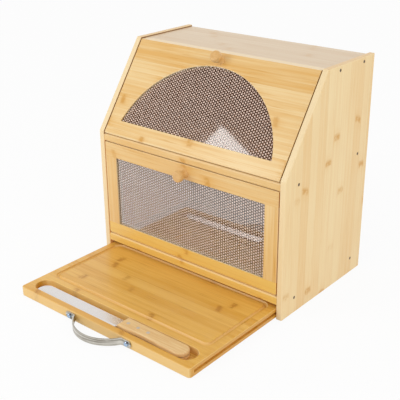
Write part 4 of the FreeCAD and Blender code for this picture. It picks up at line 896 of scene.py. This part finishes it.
def staggered_places(flat, settings):
    """Centres of the dots, in columns about the middle; every other one stands half a row up."""
    lows = [min(point[k] for point in flat) for k in (0, 1)]
    highs = [max(point[k] for point in flat) for k in (0, 1)]
    middle = [(low + high) / 2 for low, high in zip(lows, highs)]
    columns = int((highs[0] - lows[0]) / settings.column_step) + 2
    rows = int((highs[1] - lows[1]) / settings.row_step) + 2
    least = settings.dot / 2 + settings.rim
    places = []
    for column in range(-columns // 2, columns // 2 + 1):
        lift = (column % 2) * settings.row_step / 2
        for row in range(-rows // 2, rows // 2 + 1):
            sideways = middle[0] + column * settings.column_step
            upwards = middle[1] + row * settings.row_step + lift
            place = Vector((sideways, upwards))
            if edge_distance(place, flat) > least:
                places.append(place)
    return places


# A dot is a low button: a foot just under the sheet's face, a rounded shoulder and a crown.
# Each ring of it is a share of the radius and a share of the height.
DOT_RINGS = ((1.0, -0.1), (1.0, 0.45), (0.86, 0.85))


def buttons(seats, right, up, front, settings):
    """Points and faces of the dots on their seats."""
    sides = settings.dot_sides
    radius = settings.dot / 2
    points = []
    faces = []
    for seat in seats:
        first = len(points)
        for wide, high in DOT_RINGS:
            for k in range(sides):
                turn = 2 * math.pi * k / sides
                arm = right * math.cos(turn) + up * math.sin(turn)
                points.append(seat + arm * radius * wide + front * settings.dot_high * high)
        points.append(seat + front * settings.dot_high)
        crown = len(points) - 1
        faces.append(tuple(first + k for k in reversed(range(sides))))
        for k in range(sides):
            after = (k + 1) % sides
            for low in range(first, crown - sides, sides):
                faces.append((low + k, low + after, low + sides + after, low + sides + k))
            faces.append((crown - sides + k, crown - sides + after, crown))
    return points, faces


def dotted_sheet(leaf, front, settings, clear, paint):
    """A thin clear sheet and its rows of raised dots, in the place of a leaf's plain sheet."""
    node = leaf + "_mesh"
    front = Vector(front).normalized()
    right = Vector((1.0, 0.0, 0.0))
    up = front.cross(right)
    rim = face_outline(node, front)
    depths = [vertex.co.dot(front) for vertex in NODES[node].data.vertices]
    near = settings.clearance + settings.dot_high
    far = max(depths) - min(depths) - settings.clearance
    points, faces = slab(rim, front, near, far)
    finish_piece(leaf + "_dotted_sheet", points, faces, clear, leaf, [node])

    origin = rim[0]
    flat = [Vector(((point - origin).dot(right), (point - origin).dot(up))) for point in rim]
    places = staggered_places(flat, settings)
    if not places:
        raise RuntimeError(leaf + "_dotted_sheet has no room for dots")
    seats = [origin + right * place.x + up * place.y - front * near for place in places]
    points, faces = buttons(seats, right, up, front, settings)
    finish_piece(leaf + "_dotted_dots", points, faces, paint, leaf, [node])


# ---- operators ----

# The sides get painted shade on their inner faces up to the top board's ends, and this much into the
# joint.
PAINTED_SHADE_OVERLAP = 0.4 * MM

# Growth rings: wide in planed wood, close in turned wood.
WIDE_RINGS = 9.0 * MM
KNOB_RINGS = 2.2 * MM
KNIFE_RINGS = 2.5 * MM


class BREADBOX_OT_effects(bpy.types.Operator):
    """Builds the shared surface effects"""

    bl_idname = "breadbox.effects"
    bl_label = "Surface effects"

    def execute(self, context):
        bamboo_group()
        metal_group()
        hardwood_group()
        return {"FINISHED"}


class BREADBOX_OT_boards(bpy.types.Operator):
    """Gives the bamboo boards their strips, tones and lacquer, with painted shade inside and painted
    highlights on the edges
    """

    bl_idname = "breadbox.boards"
    bl_label = "Bamboo boards"

    def execute(self, context):
        tones = context.scene.bread_box.bamboo
        lying = GRAIN_LYING
        upright = GRAIN_UPRIGHT
        leaning = (lid_tilt() - TURN_QUARTER, 0.0, 0.0)
        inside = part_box("top_board")[1][0] + PAINTED_SHADE_OVERLAP
        lid_looks = {"Bands": 0.8, "Streaks": 0.6}
        front_looks = {"Streaks": 0.5}
        board_looks = {
            "Growth Mark": tones.board_mark,
            "Edge": tones.board_edge_highlight,
            "Bands": 0.65,
            "Streaks": 0.65,
        }
        # The inner faces of the sides take painted shade.
        side = bamboo_material("Side bamboo", GRAIN_UP_SIDE, "side", 3.0, shaded_half=inside)
        # The deep tones of both shelves are painted shade of the closed inside.
        shelf = bamboo_material("Shelf bamboo", lying, "shelf", 17.7, coat=0.1)
        loft = bamboo_material("Middle shelf bamboo", lying, "loft", 27.3, coat=0.05)
        top = bamboo_material("Top bamboo", lying, "top", 11.3, {"Marks": 0.15})
        lid = bamboo_material("Lid bamboo", leaning, "front", 5.4, lid_looks, coat=0.6)
        rail = bamboo_material("Rail bamboo", upright, "front", 8.2, front_looks)
        low_rail = bamboo_material("Low rail bamboo", upright, "low", 9.6)
        stile = bamboo_material("Stile bamboo", GRAIN_UP_FRONT, "front", 21.6, front_looks)
        board = bamboo_material("Board bamboo", lying, "board", 31.1, board_looks)
        dress(side, "left_side", "right_side")
        dress(shelf, "bottom_shelf")
        dress(loft, "middle_shelf")
        dress(top, "top_board")
        dress(lid, "lid_panel")
        dress(rail, "middle_rail", "door_top_rail")
        dress(low_rail, "bottom_rail", "door_foot_rail")
        dress(stile, "door_left_stile", "door_right_stile")
        dress(board, "cutting_board")
        return {"FINISHED"}


class BREADBOX_OT_sheets(bpy.types.Operator):
    """Fits the panes and the dotted sheets of the lid and the door"""

    bl_idname = "breadbox.sheets"
    bl_label = "Dotted sheets"

    def execute(self, context):
        settings = context.scene.bread_box.sheet
        tilt = lid_tilt()
        # The way a leaf's front looks, the index of its pane and of its sheet, and the haze.
        leaves = {
            "lid": ((0.0, -math.cos(tilt), math.sin(tilt)), 1.5, 1.47, 0.03),
            "door": ((0.0, -1.0, 0.0), 1.5, 1.5, 0.0),
        }
        paint = dot_material(settings)
        for leaf, (front, pane_index, sheet_index, haze) in leaves.items():
            title = leaf.capitalize()
            dress(pane_material(title + " pane", pane_index, haze), leaf + "_pane")
            clear = pane_material(title + " sheet", sheet_index, haze)
            dotted_sheet(leaf, front, settings, clear, paint)
        return {"FINISHED"}


class BREADBOX_OT_hidden_wood(bpy.types.Operator):
    """Finishes the frames, blocks and runners inside"""

    bl_idname = "breadbox.hidden_wood"
    bl_label = "Inner wood"

    def execute(self, context):
        upright = GRAIN_UPRIGHT
        front, rear = (corner[1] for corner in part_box("back_panel"))
        middle = (front + rear) / 2
        # The back panel's inner half takes the painted shade of the inside.
        back = hardwood_material("Back wood", upright, "back", 0.5, WIDE_RINGS, shaded_to=middle)
        flat = hardwood_material("Frame wood", upright, "inner", 0.5, WIDE_RINGS)
        block = hardwood_material("Block wood", GRAIN_LYING, "inner", 0.5)
        runner = hardwood_material("Runner wood", GRAIN_ALONG_Y, "inner", 0.45)
        dress(back, "back_panel")
        dress(flat, "lid_retainer", "door_retainer")
        dress(block, "door_stop_blocks")
        dress(runner, "left_runner", "right_runner")
        return {"FINISHED"}


class BREADBOX_OT_knobs(bpy.types.Operator):
    """Finishes the turned knobs"""

    bl_idname = "breadbox.knobs"
    bl_label = "Knobs"

    def execute(self, context):
        wood = hardwood_material("Knob wood", GRAIN_ALONG_Y, "knob", 0.36, KNOB_RINGS, coat=0.3)
        dress(wood, "lid_knob", "door_knob")
        return {"FINISHED"}


class BREADBOX_OT_metalwork(bpy.types.Operator):
    """Finishes the screws, pins, magnets and the board's handle"""

    bl_idname = "breadbox.metalwork"
    bl_label = "Metalwork"

    def execute(self, context):
        lying = GRAIN_LYING
        cast = {"Stretch": 1.0, "Spread": 0.3}
        # A cross stretch near nothing lets the marks follow the bent strap. Their dark tone is
        # painted reflection of the dark studio.
        bent = {"Cross Stretch": 0.03, "Mark Scale": 420.0, "Cloud": 0.1}
        bronze = metal_material("Bronzed screw", lying, "bronze", 0.42, cast, 0.02 * MM, metallic=0.6)
        zinc = metal_material("Zinc screw", lying, "zinc", 0.24)
        strap = metal_material("Strap steel", lying, "strap", 0.3, bent)
        plain = metal_material("Plain steel", lying, "plain", 0.35)
        nickel = metal_material("Nickel", lying, "nickel", 0.18)
        dress(bronze, "left_screws", "right_screws", "back_screws")
        dress(zinc, "handle_screws", "lid_retainer_screws", "door_retainer_screws")
        dress(zinc, "lid_knob_screw", "door_knob_screw")
        dress(strap, "handle_bow")
        dress(plain, "lid_pins", "door_pins", "lid_strikes", "door_strikes")
        dress(nickel, "lid_magnets", "door_magnets")
        return {"FINISHED"}


class BREADBOX_OT_knife(bpy.types.Operator):
    """Finishes the bread knife"""

    bl_idname = "breadbox.knife"
    bl_label = "Bread knife"

    def execute(self, context):
        blade = metal_material(
            "Blade steel", GRAIN_ALONG_Y, "blade", 0.24, {"Stretch": 0.01}, 0.002 * MM
        )
        rivet = metal_material("Rivet steel", GRAIN_LYING, "rivet", 0.4)
        scale = hardwood_material("Knife wood", GRAIN_LYING, "knife", 0.42, KNIFE_RINGS)
        dress(blade, "knife_blade")
        dress(rivet, "knife_rivets")
        dress(scale, "knife_upper_scale", "knife_lower_scale")
        return {"FINISHED"}


# ---- stage ----

# The dark ceiling over the front: where it begins and is full, by the rise of a ray and
# by how far the ray leans to the back, and how much light it takes away.
CEILING_RISE = (0.25, 0.42)
CEILING_LEAN = (0.1, -0.3)
CEILING_DARK = 0.7

# How much of the floor is plain white for the rays that see it.
FLOOR_GLOW = 0.92

# The key lamp by its near corner and two sides, and the side lamp's place.
KEY_CORNER = (-0.842, -0.781, 1.174)
KEY_ACROSS = (0.847, -0.498, -0.187)
KEY_DOWN = (-0.381, -0.488, -0.786)
SIDE_PLACE = (2.6, -0.9, 1.2)

SENSOR_WIDTH = 36.0
NEAREST_SEEN = 0.01


def make_sky(scene, settings):
    """Even light from all round, seen as white with a dark warm ceiling over the front."""
    world = bpy.data.worlds.new("Studio")
    scene.world = world
    world.use_nodes = True
    tree = world.node_tree
    tree.nodes.clear()
    background = add(tree, "Background")
    towards = split_xyz(tree, add(tree, "TexCoord").outputs["Generated"])
    high = fade(tree, towards[2], *CEILING_RISE)
    ceiling = calc(tree, "MULTIPLY", high, fade(tree, towards[1], *CEILING_LEAN))
    sky = calc(tree, "MULTIPLY_ADD", ceiling, -CEILING_DARK, 1.0)
    seen = seeing_rays(tree)
    warm = calc(tree, "MULTIPLY", ceiling, seen)
    strength = calc(tree, "SUBTRACT", sky, settings.room)
    strength = calc(tree, "MULTIPLY_ADD", seen, strength, settings.room)
    feed(tree, background.inputs["Color"], blend_colours(tree, warm, WHITE, settings.ceiling))
    feed(tree, background.inputs["Strength"], strength)
    output = add(tree, "OutputWorld")
    tree.links.new(background.outputs[0], output.inputs["Surface"])


def lay_floor(scene, settings):
    """A wide pale floor just under the foot of the sides."""
    half = settings.floor_width / 2
    mesh = bpy.data.meshes.new("floor")
    corners = [(-half, -half), (half, -half), (half, half), (-half, half)]
    mesh.from_pydata([(x, y, -settings.floor_drop) for x, y in corners], [], [(0, 1, 2, 3)])
    floor = bpy.data.objects.new("floor", mesh)
    scene.collection.objects.link(floor)
    material, tree, shader = new_material("Pale floor")
    shader.inputs["Base Color"].default_value = (*settings.floor, 1.0)
    shader.inputs["Roughness"].default_value = 0.9
    shader.inputs["Specular IOR Level"].default_value = 0.1
    glow = add(tree, "Emission", {"Color": WHITE, "Strength": 1.0})
    mix_shaders(tree, calc(tree, "MULTIPLY", seeing_rays(tree), FLOOR_GLOW), shader, glow)
    mesh.materials.append(material)


def soft_lamp(name, place, turn, width, watts):
    """A square soft lamp in a place, turned by a quaternion."""
    lamp = bpy.data.lights.new(name, "AREA")
    lamp.shape = "SQUARE"
    lamp.size = width
    lamp.energy = watts
    holder = bpy.data.objects.new(name, lamp)
    holder.location = place
    holder.rotation_mode = "QUATERNION"
    holder.rotation_quaternion = turn
    bpy.context.scene.collection.objects.link(holder)


def hang_lamps(settings):
    """The key lamp from its corner and its sides, and the side lamp looking at the bread box."""
    across = Vector(KEY_ACROSS).normalized()
    facing = across.cross(Vector(KEY_DOWN)).normalized()
    down = facing.cross(across)
    turn = Matrix((down, across, -facing)).transposed().to_quaternion()
    place = Vector(KEY_CORNER) + (across + down) * settings.key_width / 2
    soft_lamp("key lamp", place, turn, settings.key_width, settings.key_power)

    middle = (Vector(CAD_BOX[0]) + Vector(CAD_BOX[1])) / 2
    place = Vector(SIDE_PLACE)
    turn = (middle - place).to_track_quat("-Z", "Y")
    soft_lamp("side lamp", place, turn, settings.side_width, settings.side_power)


def set_camera(scene, settings):
    """The camera, with its lens and the way it looks."""
    lens = bpy.data.cameras.new("camera")
    lens.lens = settings.lens
    lens.sensor_width = SENSOR_WIDTH
    lens.clip_start = NEAREST_SEEN
    camera = bpy.data.objects.new("camera", lens)
    look = (
        Matrix.Rotation(settings.heading, 3, "Z")
        @ Matrix.Rotation(-settings.dip, 3, "X")
        @ Matrix.Rotation(settings.roll, 3, "Y")
        @ Matrix.Rotation(TURN_QUARTER, 3, "X")
    )
    camera.matrix_world = Matrix.Translation(Vector(settings.eye)) @ look.to_4x4()
    scene.collection.objects.link(camera)
    scene.camera = camera


class BREADBOX_OT_stage(bpy.types.Operator):
    """Lays the floor and sets the lamps and the camera"""

    bl_idname = "breadbox.stage"
    bl_label = "Stage"

    def execute(self, context):
        scene = context.scene
        settings = scene.bread_box.stage
        scene.view_settings.view_transform = "Standard"
        make_sky(scene, settings)
        lay_floor(scene, settings)
        hang_lamps(settings)
        set_camera(scene, settings)
        return {"FINISHED"}


OPERATORS = (
    BREADBOX_OT_effects,
    BREADBOX_OT_boards,
    BREADBOX_OT_sheets,
    BREADBOX_OT_hidden_wood,
    BREADBOX_OT_knobs,
    BREADBOX_OT_metalwork,
    BREADBOX_OT_knife,
    BREADBOX_OT_stage,
)


class BREADBOX_PT_panel(bpy.types.Panel):
    """Lists the steps that dress the bread box"""

    bl_idname = "BREADBOX_PT_panel"
    bl_label = "Bread box"
    bl_space_type = "VIEW_3D"
    bl_region_type = "UI"
    bl_category = "Bread box"

    def draw(self, context):
        for operator in OPERATORS:
            self.layout.operator(operator.bl_idname)


CLASSES = (
    BambooSettings,
    HardwoodSettings,
    MetalSettings,
    SheetSettings,
    StageSettings,
    BreadBoxSettings,
    *OPERATORS,
    BREADBOX_PT_panel,
)


def register():
    """Registers the settings, the operators and the panel."""
    for item in CLASSES:
        bpy.utils.register_class(item)
    bpy.types.Scene.bread_box = PointerProperty(type=BreadBoxSettings)


def unregister():
    """Takes the settings, the operators and the panel away again."""
    del bpy.types.Scene.bread_box
    for item in reversed(CLASSES):
        bpy.utils.unregister_class(item)


def main():
    """Dresses the whole bread box."""
    register()
    for operator in OPERATORS:
        family, name = operator.bl_idname.split(".")
        getattr(getattr(bpy.ops, family), name)()


if __name__ == "__main__":
    main()
